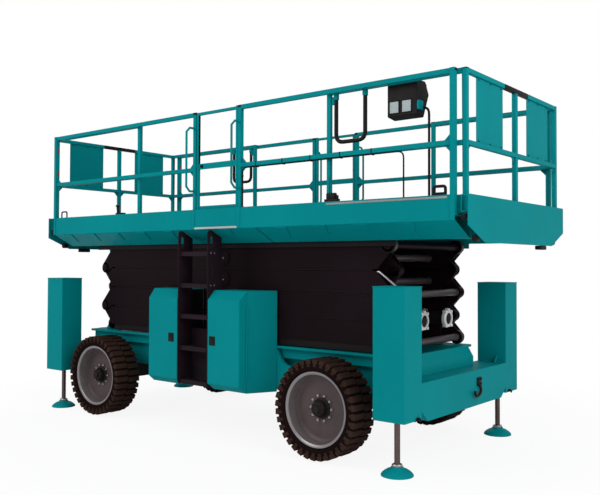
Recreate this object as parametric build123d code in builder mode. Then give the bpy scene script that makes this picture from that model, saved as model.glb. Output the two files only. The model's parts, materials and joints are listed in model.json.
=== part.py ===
"""Rough-terrain scissor lift with outriggers, stowed. Millimetres, +X forward, +Z up, ground at Z = 0."""
from build123d import *
import math
import os

os.makedirs("parts", exist_ok=True)

# ---- running and seating clearances ----
run_fit = 0.08            # radial gap of a pin or rod in its bore
seat_gap = 0.4            # gap between a moving piece and the piece it rests on
side_gap = 5.0            # gap between moving plates that pass each other
swing_gap = 7.0           # gap a square tube needs to turn beside its post

# ---- wheels and axles ----
wheelbase = 3180.0
chassis_x = -190.0        # middle of the wheelbase
front_axle_x = chassis_x + wheelbase / 2
rear_axle_x = chassis_x - wheelbase / 2
tyre_radius = 460.0
tyre_width = 310.0
tyre_outer_y = 1120.0
wheel_y = tyre_outer_y - tyre_width / 2
lug_count = 16            # tread bars round the tyre
lug_depth = 32.0
shoulder_width = 42.0
shoulder_scale = 0.91
wall_sides = 14           # flats round the bead seat
rim_radius = 318.0        # bead seat that the tyre sits on
rim_wall = 12.0
rim_lip = 14.0
rim_half = 133.0
dish_depth = 112.0        # outer edge of the rim to its disc
dish_radius = 272.0
disc_thickness = 30.0
hub_radius = 95.0
hub_reach = 93.0
spindle_radius = 40.0
spindle_bore_depth = 98.0 
axle_beam = 140.0
kingpin_y = 745.0
kingpin_radius = 25.0
knuckle_radius = 48.0
knuckle_height = 150.0
yoke_plate = 30.0
flange_radius = 120.0
flange_width = 25.0
flange_inset = 75.0       # wheel's middle to the axle flange
diff_radius = 165.0
diff_length = 200.0
steer_barrel = 45.0
steer_rod = 20.0

# ---- chassis ----
beam_inner_y = 440.0
beam_outer_y = 560.0
beam_bottom_z = 560.0
beam_top_z = 900.0
frame_front_x = 2019.0
frame_rear_x = -2399.0
track_outer_y = 700.0
track_thickness = 24.0
rail_web_y = 640.0
rail_bottom_z = 812.0
member_width = 140.0
member_height = 200.0
plate = 12.0              # general chassis plate
sheet = 5.0               # housings and covers

# ---- outriggers and end structures ----
box_length = 306.0
box_width = 278.0
box_outer_y = 1120.0
box_bottom_z = 456.0
box_top_z = 1559.0
front_box_x = frame_front_x + box_length / 2
rear_box_x = frame_rear_x - box_length / 2
box_y = box_outer_y - box_width / 2
rod_radius = 25.0
rod_bore_top_z = 1480.0
leg_lift = 250.0          # how far a leg draws up from where it stands
pad_radius = 137.0
pad_edge = 18.0
pad_rise = 34.0           # lower, steeper part of the pad's dome
pad_height = 95.0
bumper_bottom_z = 425.0
bumper_top_z = 756.0
bumper_corner = 110.0
hood_front_inset = 215.0
hood_step_z = 832.0

# ---- scissor stack ----
pin_left_x = -2155.0
pin_right_x = 1890.0
base_pin_z = 1005.0
pin_pitch = 228.0
levels = 4
arm_height = 212.0
arm_width = 80.0
outer_arm_y = 600.0       # inner face of the outer arms
inner_arm_y = 500.0       # inner face of the inner arms
arm_end_inset = 115.0     # pin to the end of the arm's tube
lug_radius = 62.0
pin_radius = 30.0
fork_plate = 15.0
tongue = 40.0
roller_radius = 70.0
centre_tube_radius = 42.0
hub_disc_radius = 78.0
hub_disc_width = 10.0
cross_tube_radius = 36.0
cross_tube_inset = 255.0
cylinder_tube_x = 1500.0  # cross tube of the lowest inner frame that carries the lift cylinders
round_sides = 8           # flats of the fixed tubes, lugs and pins
arm_centre_x = (pin_left_x + pin_right_x) / 2

# ---- lift cylinders ----
cylinder_y = 235.0
barrel_radius = 60.0
barrel_tail = 275.0
barrel_head_gap = 330.0
barrel_end = 60.0
trunnion_inset = 165.0
trunnion_drop = 10.0
trunnion_radius = 25.0
bearing_gap = 8.0
bearing_plate = 20.0
eye_inset = 1600.0
eye_rise = 15.0
eye_radius = 50.0
eye_bore = 28.0
eye_width = 72.0
eye_tube_inset = 285.0    # rod eye to the cross tube that carries its ears
piston_rod_radius = 35.0

# ---- platform ----
platform_half_length = 2723.0
toe_outer_y = 1031.0
toe_sheet = 6.0
toe_bottom_z = 2090.0
toe_top_z = 2295.0
floor_top_z = 2150.0
floor_sheet = 20.0
under_beam_inner_y = 700.0
under_beam_outer_y = 760.0
under_beam_bottom_z = 1955.0
skirt_bottom_z = 1905.0
roof_track_thickness = 20.0
floor_member_width = 60.0
floor_member_height = 80.0
rail_tube = 40.0          # square tube of the guard rails
main_rail_y = 1005.0
top_rail_z = 3277.0
mid_rail_z = 2707.0
gate_post_rear_x = -230.0
gate_post_front_x = 404.0
gate_tube = 28.0
gate_wall = 4.0
gate_bar_height = 58.0
gate_bar_thickness = 16.0
gate_bar_z = 2735.0
gate_toe_height = 120.0
gate_lift = 60.0
knob_radius = 14.0
hinge_pin_radius = 6.0
hinge_plate = 8.0
hinge_pin_depth = 16.0
handle_low = 795.0        # top rail to the handle's lower leg
handle_high = 144.0
handle_reach = 130.0
handle_radius = 12.0
handle_bend = 45.0

# ---- sliding extension decks ----
extension_y = 955.0
extension_end_x = platform_half_length + 59.0
front_inner_post_x = 1450.0
rear_inner_post_x = -1178.0
end_plate_x = platform_half_length + 117.0
end_plate_sheet = 8.0
end_plate_bottom_z = 1920.0
end_plate_cut = 300.0
end_plate_rise = 130.0
extension_floor = 14.0
extension_toe_bottom = 15.0
runner_inner_y = 640.0
runner_outer_y = 690.0
runner_height = 78.0
runner_inner_end_x = 300.0
end_panel_inner_y = 260.0
end_panel_outer_y = 770.0
end_post = 44.0
grip_inset = 74.0
grip_width = 309.0
grip_drop = 452.0
grip_bend = 70.0

# ---- control box and its cables ----
control_box_x = 2187.0
control_box_width = 285.0
control_box_depth = 150.0
control_box_height = 302.0
cable_radius = 7.0
cable_bend = 60.0

# ---- housings beside the chassis ----
ladder_rear_x = -407.0
ladder_front_x = 28.0
ladder_outer_y = 1080.0
ladder_depth = 200.0
ladder_bottom_z = 500.0
ladder_sheet = 8.0
ladder_gap = 8.0          # ladder to the housings and to the platform above
ladder_chamfer = 25.0
rung_width = 90.0
rung_height = 30.0
rung_heights = (536.0, 881.0, 1206.0, 1522.0, 1848.0)
slot_length = 115.0
slot_width = 34.0
slot_drop = 100.0
tray_rear_x = -875.0
tray_front_x = 485.0
tray_flare = 139.0        # how much further the housings reach at the chassis than at the seam
tray_outer_y = 1080.0
tray_seam_y = 990.0
tray_bottom_z = 485.0
tray_top_z = 1476.0
tray_face_bottom_z = 550.0
tray_face_top_z = 1380.0
door_draft = 20.0
door_hinge_radius = 8.0
door_hinge_inset = 60.0
unit_depth = 240.0
unit_height = 600.0
unit_margin = 20.0
unit_chamfer = 30.0

near_far = (("near", -1), ("far", 1))


def y_slab(y_from):
    """Sketch plane facing -Y whose extrusions start at y_from and run towards -Y."""
    return Plane.XZ.offset(-y_from)


def block(x_span, y_span, z_span, mode=Mode.ADD):
    """Box between two limits on each axis."""
    spans = (x_span, y_span, z_span)
    with Locations(tuple((low + high) / 2 for low, high in spans)):
        Box(*(abs(high - low) for low, high in spans), mode=mode)


def outline(plane, points, thickness, mode=Mode.ADD):
    """Straight-sided outline on a plane, given a thickness along the plane's normal."""
    with BuildSketch(plane) as face:
        with BuildLine():
            Polyline(*points, close=True)
        make_face()
    extrude(face.sketch, amount=thickness, mode=mode)


def flats(plane, at, radius, length, sides=round_sides, mode=Mode.ADD):
    """Many-sided bar whose corners lie on a circle."""
    with BuildSketch(plane) as face:
        with Locations(at):
            RegularPolygon(radius, sides)
    extrude(face.sketch, amount=length, mode=mode)


def tapered(plane, at, radius, end_radius, length, sides, mode=Mode.ADD):
    """Many-sided bar that narrows upwards from one corner radius to another."""
    with BuildSketch(plane) as face:
        with Locations(at):
            RegularPolygon(radius, sides)
    slope = (radius - end_radius) * math.cos(math.pi / sides) / length
    extrude(face.sketch, amount=length, taper=math.degrees(math.atan(slope)), mode=mode)


def bent_bar(points, radius, sides=6):
    """Bar of many-sided section along a mitred path."""
    with BuildLine() as path:
        Polyline(*points)
    with BuildSketch(Plane(origin=path.line @ 0, z_dir=path.line % 0)) as section:
        RegularPolygon(radius, sides)
    sweep(section.sketch, path=path.line, transition=Transition.RIGHT)


def welded(*pieces):
    """Plates and tubes that meet face to face, kept as one part of several solids."""
    return Compound([solid for piece in pieces for solid in piece.part.solids()])


def save(name, shape):
    shape.label = name
    export_step(shape, "parts/" + name + ".step")


def piece(x_span, y_span, z_span):
    """One straight plate or tube on its own."""
    with BuildPart() as made:
        block(x_span, y_span, z_span)
    return made


# ---- chassis frame: two beams, outer track rails, cross members and pin lugs ----
track_top_z = base_pin_z - roller_radius - seat_gap
track_bottom_z = track_top_z - track_thickness
fork_inner_y = inner_arm_y + fork_plate + side_gap
lug_nose = lug_radius - seat_gap
frame_span = (frame_rear_x, frame_front_x)
frame_pieces = []
for side in (-1, 1):
    frame_pieces.append(piece(frame_span, (side * beam_inner_y, side * beam_outer_y), (beam_bottom_z, track_bottom_z)))
    frame_pieces.append(piece(frame_span, (side * beam_outer_y, side * rail_web_y),
                              (rail_bottom_z, rail_bottom_z + plate)))
    frame_pieces.append(piece(frame_span, (side * (rail_web_y - plate), side * rail_web_y),
                              (rail_bottom_z + plate, track_bottom_z)))
    frame_pieces.append(piece(frame_span, (side * beam_inner_y, side * track_outer_y), (track_bottom_z, track_top_z)))
    with BuildPart() as pin_lug:
        with BuildSketch(y_slab(side * (fork_inner_y + tongue / 2) + tongue / 2)):
            with Locations((pin_left_x, base_pin_z)):
                RegularPolygon(lug_nose, round_sides)
            with Locations((pin_left_x, track_top_z + 5)):
                Rectangle(4 * lug_radius, 10)
            make_hull()
            with Locations((pin_left_x, base_pin_z)):
                Circle(pin_radius + run_fit, mode=Mode.SUBTRACT)
        extrude(amount=tongue)
    frame_pieces.append(pin_lug)
member_z = (beam_bottom_z + beam_top_z) / 2
for member_x in (frame_rear_x + 90, rear_axle_x, chassis_x - 450, chassis_x + 440, front_axle_x,
                 frame_front_x - 90):
    frame_pieces.append(piece((member_x - member_width / 2, member_x + member_width / 2),
                              (-beam_inner_y, beam_inner_y),
                              (member_z - member_height / 2, member_z + member_height / 2)))
save("chassis_frame", welded(*frame_pieces))

# ---- end structures: bumper beam, stepped hood and the two outrigger housings ----
box_inner_y = box_outer_y - box_width
for end_name, box_x, inner_x, facing in (("front", front_box_x, frame_front_x, 1),
                                         ("rear", rear_box_x, frame_rear_x, -1)):
    outer_x = inner_x + facing * box_length
    with BuildPart() as end_structure:
        block((inner_x, outer_x), (box_inner_y, box_outer_y), (box_bottom_z, box_top_z))
        with BuildSketch(Plane.XY.offset(box_bottom_z)):
            with Locations((box_x, box_y)):
                Circle(rod_radius + run_fit)
        extrude(amount=rod_bore_top_z - box_bottom_z, mode=Mode.SUBTRACT)
        mirror(about=Plane.XZ)
        outline(Plane.YZ.offset(min(inner_x, outer_x)),
                ((-box_inner_y, bumper_top_z), (box_inner_y, bumper_top_z),
                 (box_inner_y, bumper_bottom_z + bumper_corner - 20), (box_inner_y - bumper_corner, bumper_bottom_z),
                 (-box_inner_y + bumper_corner, bumper_bottom_z),
                 (-box_inner_y, bumper_bottom_z + bumper_corner - 20)), box_length)
        hood_x = outer_x - facing * hood_front_inset
        outline(y_slab(beam_outer_y),
                ((inner_x, bumper_top_z), (hood_x, bumper_top_z), (hood_x, hood_step_z),
                 (inner_x + facing * 30, track_top_z), (inner_x, track_top_z)), 2 * beam_outer_y)
    save(end_name + "_end", end_structure.part)

# ---- outrigger legs: rod and dished pad ----
rod_top_z = rod_bore_top_z - leg_lift - side_gap
neck_radius = rod_radius + 22
for leg_name, leg_x, leg_y in (("front_near", front_box_x, -box_y), ("front_far", front_box_x, box_y),
                               ("rear_near", rear_box_x, -box_y), ("rear_far", rear_box_x, box_y)):
    with BuildPart() as leg:
        flats(Plane.XY, (leg_x, leg_y), rod_radius, rod_top_z, 12)
        flats(Plane.XY, (leg_x, leg_y), pad_radius, pad_edge, 12)
        tapered(Plane.XY.offset(pad_edge), (leg_x, leg_y), pad_radius - 8, neck_radius + 30, pad_rise, 12)
        tapered(Plane.XY.offset(pad_edge + pad_rise), (leg_x, leg_y), neck_radius + 30, rod_radius + 10,
                pad_height - pad_edge - pad_rise, 12)
    save("outrigger_leg_" + leg_name, leg.part)

# ---- axles ----
yoke_inner_z = knuckle_height / 2 + seat_gap
axle_pads = ((-beam_outer_y, -beam_inner_y), (beam_inner_y, beam_outer_y))
axle_span_x = axle_beam / 2
with BuildPart() as front_axle:
    block((front_axle_x - axle_span_x, front_axle_x + axle_span_x), (-kingpin_y + 100, kingpin_y - 100),
          (tyre_radius - axle_span_x, tyre_radius + axle_span_x))
    for side in (-1, 1):
        for ear in (-1, 1):
            with BuildSketch(Plane.XY.offset(tyre_radius + ear * (yoke_inner_z + yoke_plate / 2) - yoke_plate / 2)):
                with Locations((front_axle_x, side * kingpin_y)):
                    RegularPolygon(knuckle_radius, 8)
                with Locations((front_axle_x, side * (kingpin_y - 120))):
                    Rectangle(2 * knuckle_radius, 50)
                make_hull()
                with Locations((front_axle_x, side * kingpin_y)):
                    Circle(kingpin_radius + run_fit, mode=Mode.SUBTRACT)
            extrude(amount=yoke_plate)
        block((front_axle_x - knuckle_radius, front_axle_x + knuckle_radius),
              (side * (kingpin_y - 145), side * (kingpin_y - 95)),
              (tyre_radius - yoke_inner_z - yoke_plate, tyre_radius + yoke_inner_z + yoke_plate))
    for low_y, high_y in axle_pads:
        block((front_axle_x - axle_span_x, front_axle_x + axle_span_x), (low_y, high_y),
              (tyre_radius, beam_bottom_z))
steer_at = (front_axle_x + axle_span_x + steer_barrel * math.cos(math.pi / 8), tyre_radius)
with BuildPart() as steering_cylinder:
    with BuildSketch(y_slab(260)):
        with Locations(steer_at):
            RegularPolygon(steer_barrel, 8, rotation=22.5)
    extrude(amount=520)
    flats(y_slab(430), steer_at, steer_rod, 860, 8)
save("front_axle", welded(front_axle, steering_cylinder))

flange_y = wheel_y - flange_inset
spindle_end_y = wheel_y + 45
with BuildPart() as rear_axle:
    block((rear_axle_x - axle_span_x, rear_axle_x + axle_span_x), (-flange_y, flange_y),
          (tyre_radius - axle_span_x, tyre_radius + axle_span_x))
    flats(Plane.YZ.offset(rear_axle_x - diff_length / 2), (0, tyre_radius), diff_radius, diff_length)
    for low_y, high_y in axle_pads:
        block((rear_axle_x - axle_span_x, rear_axle_x + axle_span_x), (low_y, high_y),
              (tyre_radius, beam_bottom_z))
    flats(y_slab(flange_y), (rear_axle_x, tyre_radius), flange_radius, flange_width)
    flats(y_slab(flange_width - flange_y), (rear_axle_x, tyre_radius), flange_radius, flange_width)
    flats(y_slab(spindle_end_y), (rear_axle_x, tyre_radius), spindle_radius, 2 * spindle_end_y, 12)
save("rear_axle", rear_axle.part)

# ---- steering knuckles ----
for side_name, side in near_far:
    pin_half = knuckle_height / 2 + yoke_plate + seat_gap
    with BuildPart() as knuckle:
        flats(Plane.XY.offset(tyre_radius - knuckle_height / 2), (front_axle_x, side * kingpin_y), knuckle_radius,
              knuckle_height, 8)
        flats(Plane.XY.offset(tyre_radius - pin_half), (front_axle_x, side * kingpin_y), kingpin_radius,
              2 * pin_half, 12)
        flats(y_slab(max(side * kingpin_y, side * spindle_end_y)), (front_axle_x, tyre_radius), spindle_radius,
              spindle_end_y - kingpin_y, 12)
        flats(y_slab(side * flange_y + flange_width / 2), (front_axle_x, tyre_radius), knuckle_height / 2,
              flange_width)
    save("steering_knuckle_" + side_name, knuckle.part)

# ---- wheels: dished rim and chunky lugged tyre ----
disc_outer = rim_half - dish_depth
disc_inner = disc_outer - disc_thickness
hub_inner = disc_inner - 10
lug_outline = []
for lug in range(lug_count):
    for along, radius in ((-0.33, tyre_radius - lug_depth), (-0.26, tyre_radius),
                          (0.26, tyre_radius), (0.33, tyre_radius - lug_depth)):
        angle = (lug + along) * 2 * math.pi / lug_count
        lug_outline.append((radius * math.cos(angle), radius * math.sin(angle)))

with BuildPart() as front_dish:
    tapered(Plane.XY, (0, 0), rim_radius - rim_wall, dish_radius, dish_depth, wall_sides)
with BuildPart() as rim:
    flats(Plane.XY.offset(-rim_half), (0, 0), rim_radius, 2 * rim_half, wall_sides)
    flats(Plane.XY.offset(rim_half - 10), (0, 0), rim_radius + rim_lip, 10, wall_sides)
    add(mirror(front_dish.part, about=Plane.XY).moved(Location((0, 0, rim_half))), mode=Mode.SUBTRACT)
    tapered(Plane.XY.offset(-rim_half), (0, 0), rim_radius - rim_wall, dish_radius - 15, rim_half + disc_inner,
            wall_sides, Mode.SUBTRACT)
    flats(Plane.XY.offset(hub_inner), (0, 0), hub_radius, disc_outer + hub_reach - hub_inner)
    with BuildSketch(Plane.XY.offset(hub_inner)):
        Circle(spindle_radius + run_fit)
    extrude(amount=spindle_bore_depth - 21, mode=Mode.SUBTRACT)
with BuildPart() as half_tyre:
    shoulder_y = tyre_width / 2 - shoulder_width
    outline(Plane.XY, lug_outline, shoulder_y)
    rings = []
    for height, share in ((shoulder_y, 1.0), (shoulder_y + shoulder_width, shoulder_scale)):
        rings.append([(share * x, share * y, height) for x, y in lug_outline])
    walls = [Face(Wire.make_polygon(ring)) for ring in rings]
    for corner, (low, high) in enumerate(zip(*rings)):
        walls.append(Face(Wire.make_polygon((rings[0][corner - 1], low, high, rings[1][corner - 1]))))
    add(Solid(Shell(walls)))
with BuildPart() as tyre:
    add(half_tyre.part)
    add(mirror(half_tyre.part, about=Plane.XY))
    flats(Plane.XY.offset(-tyre_width / 2), (0, 0), rim_radius + seat_gap, tyre_width, wall_sides, Mode.SUBTRACT)
    flats(Plane.XY.offset(rim_half - 12), (0, 0), rim_radius + rim_lip + 8, tyre_width, wall_sides, Mode.SUBTRACT)
for wheel_name, wheel_x, side in (("front_near", front_axle_x, -1), ("front_far", front_axle_x, 1),
                                  ("rear_near", rear_axle_x, -1), ("rear_far", rear_axle_x, 1)):
    place = Location((wheel_x, side * wheel_y, tyre_radius), (-90 * side, 0, 0))
    save("rim_" + wheel_name, rim.part.moved(place))
    save("tyre_" + wheel_name, tyre.part.moved(place))

# ---- scissor frames ----
trunnion_x = pin_right_x - trunnion_inset
trunnion_z = base_pin_z + pin_pitch - trunnion_drop
eye_x = pin_right_x - eye_inset
eye_z = base_pin_z + pin_pitch + eye_rise
half_pitch = pin_pitch / 2
bearing_in = barrel_radius + bearing_gap
ear_in = piston_rod_radius + side_gap
ear_stub = ear_in - eye_width / 2 - seat_gap

for level in range(1, levels + 1):
    level_z = base_pin_z + (level - 0.5) * pin_pitch
    for letter, rising in (("a", 1), ("b", -1)):
        outer = (letter == "b") == (level % 2 == 1)
        arm_y = outer_arm_y if outer else inner_arm_y
        arm_end_y = arm_y + arm_width
        low_x = pin_left_x if rising > 0 else pin_right_x
        high_x = pin_right_x if rising > 0 else pin_left_x
        low_inward = 1 if rising > 0 else -1
        low_roller = (letter == "b" and level == 1)
        high_roller = (letter == "a" and level == levels)
        with BuildPart() as frame:
            block((pin_left_x + arm_end_inset, pin_right_x - arm_end_inset), (arm_y, arm_end_y),
                  (level_z - arm_height / 2, level_z + arm_height / 2))
            if not outer:
                with BuildSketch(y_slab(arm_end_y)):
                    with Locations((arm_centre_x, level_z)):
                        Circle(centre_tube_radius + run_fit)
                extrude(amount=arm_width, mode=Mode.SUBTRACT)
            for pin_x, pin_z, inward, forked, rolling in (
                    (low_x, level_z - half_pitch, low_inward, True, low_roller),
                    (high_x, level_z + half_pitch, -low_inward, high_roller, high_roller)):
                if forked:
                    cheeks = ((arm_y, fork_plate), (arm_end_y - fork_plate, fork_plate))
                else:
                    cheeks = ((arm_y + (arm_width - tongue) / 2, tongue),)
                for cheek_y, cheek_width in cheeks:
                    with BuildSketch(y_slab(cheek_y + cheek_width)):
                        with Locations((pin_x, pin_z)):
                            RegularPolygon(lug_radius, round_sides)
                        with Locations((pin_x + inward * (arm_end_inset + 10), level_z)):
                            Rectangle(20, arm_height)
                        make_hull()
                        if not forked:
                            with Locations((pin_x, pin_z)):
                                Circle(pin_radius + run_fit, mode=Mode.SUBTRACT)
                    extrude(amount=cheek_width)
                if forked:
                    flats(y_slab(arm_end_y), (pin_x, pin_z), pin_radius, arm_width)
                if rolling:
                    flats(y_slab(arm_end_y - fork_plate), (pin_x, pin_z), roller_radius,
                          arm_width - 2 * fork_plate, 12)
                if forked and outer:
                    flats(y_slab(arm_y), (pin_x, pin_z), cross_tube_radius, arm_y)
            if outer:
                flats(y_slab(arm_y), (arm_centre_x, level_z), centre_tube_radius, arm_y)
                flats(y_slab(arm_end_y + hub_disc_width), (arm_centre_x, level_z), hub_disc_radius, hub_disc_width)
            else:
                front_tube_x = cylinder_tube_x if level == 1 else pin_right_x - cross_tube_inset
                back_tube_x = pin_left_x + cross_tube_inset
                if level == 2 and letter == "b":
                    front_tube_x = eye_x - eye_tube_inset
                for tube_x in (front_tube_x, back_tube_x):
                    flats(y_slab(arm_y), (tube_x, level_z), cross_tube_radius, arm_y)
            if level == 1 and letter == "a":
                for y_from in (cylinder_y - bearing_in, cylinder_y + bearing_in + bearing_plate):
                    with BuildSketch(y_slab(y_from)):
                        with Locations((trunnion_x, trunnion_z)):
                            RegularPolygon(2 * trunnion_radius, 8)
                        with Locations((cylinder_tube_x, level_z)):
                            RegularPolygon(cross_tube_radius + 12, 8)
                        make_hull()
                        with Locations((trunnion_x, trunnion_z)):
                            Circle(trunnion_radius + run_fit, mode=Mode.SUBTRACT)
                    extrude(amount=bearing_plate)
            if level == 2 and letter == "b":
                for y_from in (cylinder_y - ear_in, cylinder_y + ear_in + bearing_plate):
                    with BuildSketch(y_slab(y_from)):
                        with Locations((eye_x, eye_z)):
                            RegularPolygon(eye_radius, 8)
                        with Locations((front_tube_x, level_z)):
                            RegularPolygon(cross_tube_radius + 12, 8)
                        make_hull()
                    extrude(amount=bearing_plate)
                for y_from in (cylinder_y - ear_in + ear_stub, cylinder_y + ear_in):
                    flats(y_slab(y_from), (eye_x, eye_z), eye_bore - 2, ear_stub)
            mirror(about=Plane.XZ)
        save("scissor_" + str(level) + letter, frame.part)

# ---- lift cylinders ----
cylinder_length = math.hypot(eye_x - trunnion_x, eye_z - trunnion_z)
barrel_reach = cylinder_length - barrel_head_gap
for side_name, side in near_far:
    base = Plane(origin=(trunnion_x, side * cylinder_y, trunnion_z), x_dir=(0, 1, 0),
                 z_dir=(eye_x - trunnion_x, 0, eye_z - trunnion_z))
    trunnion_from = side * cylinder_y + bearing_in + bearing_plate
    with BuildPart() as barrel:
        flats(base.offset(-barrel_tail), (0, 0), barrel_radius, barrel_tail + barrel_reach, 12)
        flats(y_slab(trunnion_from), (trunnion_x, trunnion_z), trunnion_radius, 2 * (bearing_in + bearing_plate))
        flats(base.offset(-barrel_tail + barrel_end), (0, 0), piston_rod_radius + run_fit,
              barrel_tail + barrel_reach - barrel_end, 12, Mode.SUBTRACT)
    save("lift_barrel_" + side_name, barrel.part)
    with BuildPart() as piston_rod:
        flats(base.offset(-barrel_tail + barrel_end + 20), (0, 0), piston_rod_radius,
              barrel_tail - barrel_end - 20 + cylinder_length - eye_radius + 6, 12)
        flats(y_slab(side * cylinder_y + eye_width / 2), (eye_x, eye_z), eye_radius, eye_width)
        flats(y_slab(side * cylinder_y + eye_width / 2), (eye_x, eye_z), eye_bore, eye_width,
              mode=Mode.SUBTRACT)
    save("lift_rod_" + side_name, piston_rod.part)

# ---- platform deck: floor, toe boards, sloping undersides, beams, roller tracks and pin forks ----
floor_bottom_z = floor_top_z - floor_sheet
top_pin_z = base_pin_z + levels * pin_pitch
roof_track_z = top_pin_z + roller_radius + seat_gap
toe_inner_y = toe_outer_y - toe_sheet
deck_span = (-platform_half_length, platform_half_length)
deck_pieces = [piece(deck_span, (-toe_inner_y, toe_inner_y), (floor_bottom_z, floor_top_z))]
for side in (-1, 1):
    deck_pieces.append(piece(deck_span, (side * toe_inner_y, side * toe_outer_y), (toe_bottom_z, toe_top_z)))
    deck_pieces.append(piece(deck_span, (side * under_beam_inner_y, side * under_beam_outer_y),
                             (under_beam_bottom_z, floor_bottom_z)))
    deck_pieces.append(piece((pin_left_x - 100, pin_right_x + 100),
                             (side * under_beam_inner_y, side * (under_beam_inner_y + toe_sheet)),
                             (skirt_bottom_z, under_beam_bottom_z)))
    deck_pieces.append(piece((arm_centre_x - 300, pin_right_x + 150), (side * outer_arm_y, side * under_beam_inner_y),
                             (roof_track_z, roof_track_z + roof_track_thickness)))
    with BuildPart() as under_slope:
        outline(Plane.YZ.offset(-platform_half_length),
                ((side * toe_inner_y, toe_bottom_z), (side * toe_inner_y, toe_bottom_z + 7),
                 (side * under_beam_outer_y, under_beam_bottom_z + 7),
                 (side * under_beam_outer_y, under_beam_bottom_z)), 2 * platform_half_length)
    deck_pieces.append(under_slope)
    fork_far_y = inner_arm_y + arm_width if side > 0 else -inner_arm_y
    with BuildPart() as pin_fork:
        for cheek_y in (fork_far_y, fork_far_y - arm_width + fork_plate):
            with BuildSketch(y_slab(cheek_y)):
                with Locations((pin_left_x, top_pin_z)):
                    RegularPolygon(lug_radius, round_sides)
                with Locations((pin_left_x, floor_bottom_z - 10)):
                    Rectangle(4 * lug_radius, 20)
                make_hull()
            extrude(amount=fork_plate)
        flats(y_slab(fork_far_y), (pin_left_x, top_pin_z), pin_radius, arm_width)
    deck_pieces.append(pin_fork)
for share in (-0.73, -0.36, 0.0, 0.36, 0.73):
    member_x = share * platform_half_length
    deck_pieces.append(piece((member_x - floor_member_width / 2, member_x + floor_member_width / 2),
                             (-runner_inner_y + 10, runner_inner_y - 10),
                             (floor_bottom_z - floor_member_height, floor_bottom_z)))
save("platform_deck", welded(*deck_pieces))

# ---- main guard rails ----
half_tube = rail_tube / 2
half_gate = gate_tube / 2
corner_post_x = platform_half_length - half_tube
gate_axis_front_x = gate_post_front_x - half_tube - swing_gap - half_gate
gate_axis_rear_x = gate_post_rear_x + half_tube + swing_gap + half_gate
gate_bottom_z = floor_top_z + gate_lift
gate_top_z = top_rail_z + half_gate
for side_name, side in near_far:
    inner_face = side * (main_rail_y - half_tube)
    outer_face = side * (main_rail_y + half_tube)
    hinge_x = gate_axis_front_x if side < 0 else gate_axis_rear_x
    hinge_post_x = gate_post_front_x - half_tube if side < 0 else gate_post_rear_x + half_tube
    rail_pieces = []
    for post_x in (gate_post_rear_x, gate_post_front_x):
        rail_pieces.append(piece((post_x - half_tube, post_x + half_tube), (inner_face, outer_face),
                                 (floor_top_z, top_rail_z + half_tube)))
    for facing in (-1, 1):
        with BuildPart() as corner_post:
            outline(Plane.YZ.offset(facing * corner_post_x - half_tube),
                    ((inner_face, floor_top_z), (outer_face, floor_top_z), (outer_face, toe_top_z),
                     (side * toe_outer_y, toe_top_z), (side * toe_outer_y, toe_bottom_z),
                     (side * (toe_outer_y + toe_sheet), toe_bottom_z),
                     (side * (toe_outer_y + toe_sheet), top_rail_z + half_tube),
                     (inner_face, top_rail_z + half_tube)), rail_tube)
        rail_pieces.append(corner_post)
    for start_x, end_x in ((-corner_post_x + half_tube, gate_post_rear_x - half_tube),
                           (gate_post_front_x + half_tube, corner_post_x - half_tube)):
        for rail_z in (top_rail_z, mid_rail_z):
            rail_pieces.append(piece((start_x, end_x), (inner_face, outer_face),
                                     (rail_z - half_tube, rail_z + half_tube)))
    for post_x in (gate_post_rear_x, gate_post_front_x):
        reach_y = outer_face + side * (handle_reach - half_tube)
        low_z = top_rail_z - handle_low
        high_z = top_rail_z - handle_high
        with BuildPart() as handle:
            bent_bar(((post_x, outer_face, low_z), (post_x, reach_y - side * handle_bend, low_z),
                      (post_x, reach_y, low_z + handle_bend), (post_x, reach_y, high_z - handle_bend),
                      (post_x, reach_y - side * handle_bend, high_z), (post_x, outer_face, high_z)),
                     handle_radius)
        rail_pieces.append(handle)
    for plate_z, pin_low, pin_high in (
            (gate_bottom_z - seat_gap - hinge_plate, gate_bottom_z - seat_gap - hinge_plate,
             gate_bottom_z + hinge_pin_depth),
            (gate_top_z + seat_gap, gate_top_z - hinge_pin_depth, gate_top_z + seat_gap + hinge_plate)):
        facing = 1 if hinge_post_x > hinge_x else -1
        post_top_z = top_rail_z + half_tube
        with BuildPart() as hinge:
            block((hinge_x - facing * half_gate, hinge_post_x),
                  (side * (main_rail_y - half_gate), side * (main_rail_y + half_gate)),
                  (plate_z, plate_z + hinge_plate))
            with BuildSketch(Plane.XY.offset(pin_low)):
                with Locations((hinge_x, side * main_rail_y)):
                    Circle(hinge_pin_radius)
            extrude(amount=pin_high - pin_low)
        rail_pieces.append(hinge)
    save("main_rail_" + side_name, welded(*rail_pieces))

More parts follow.
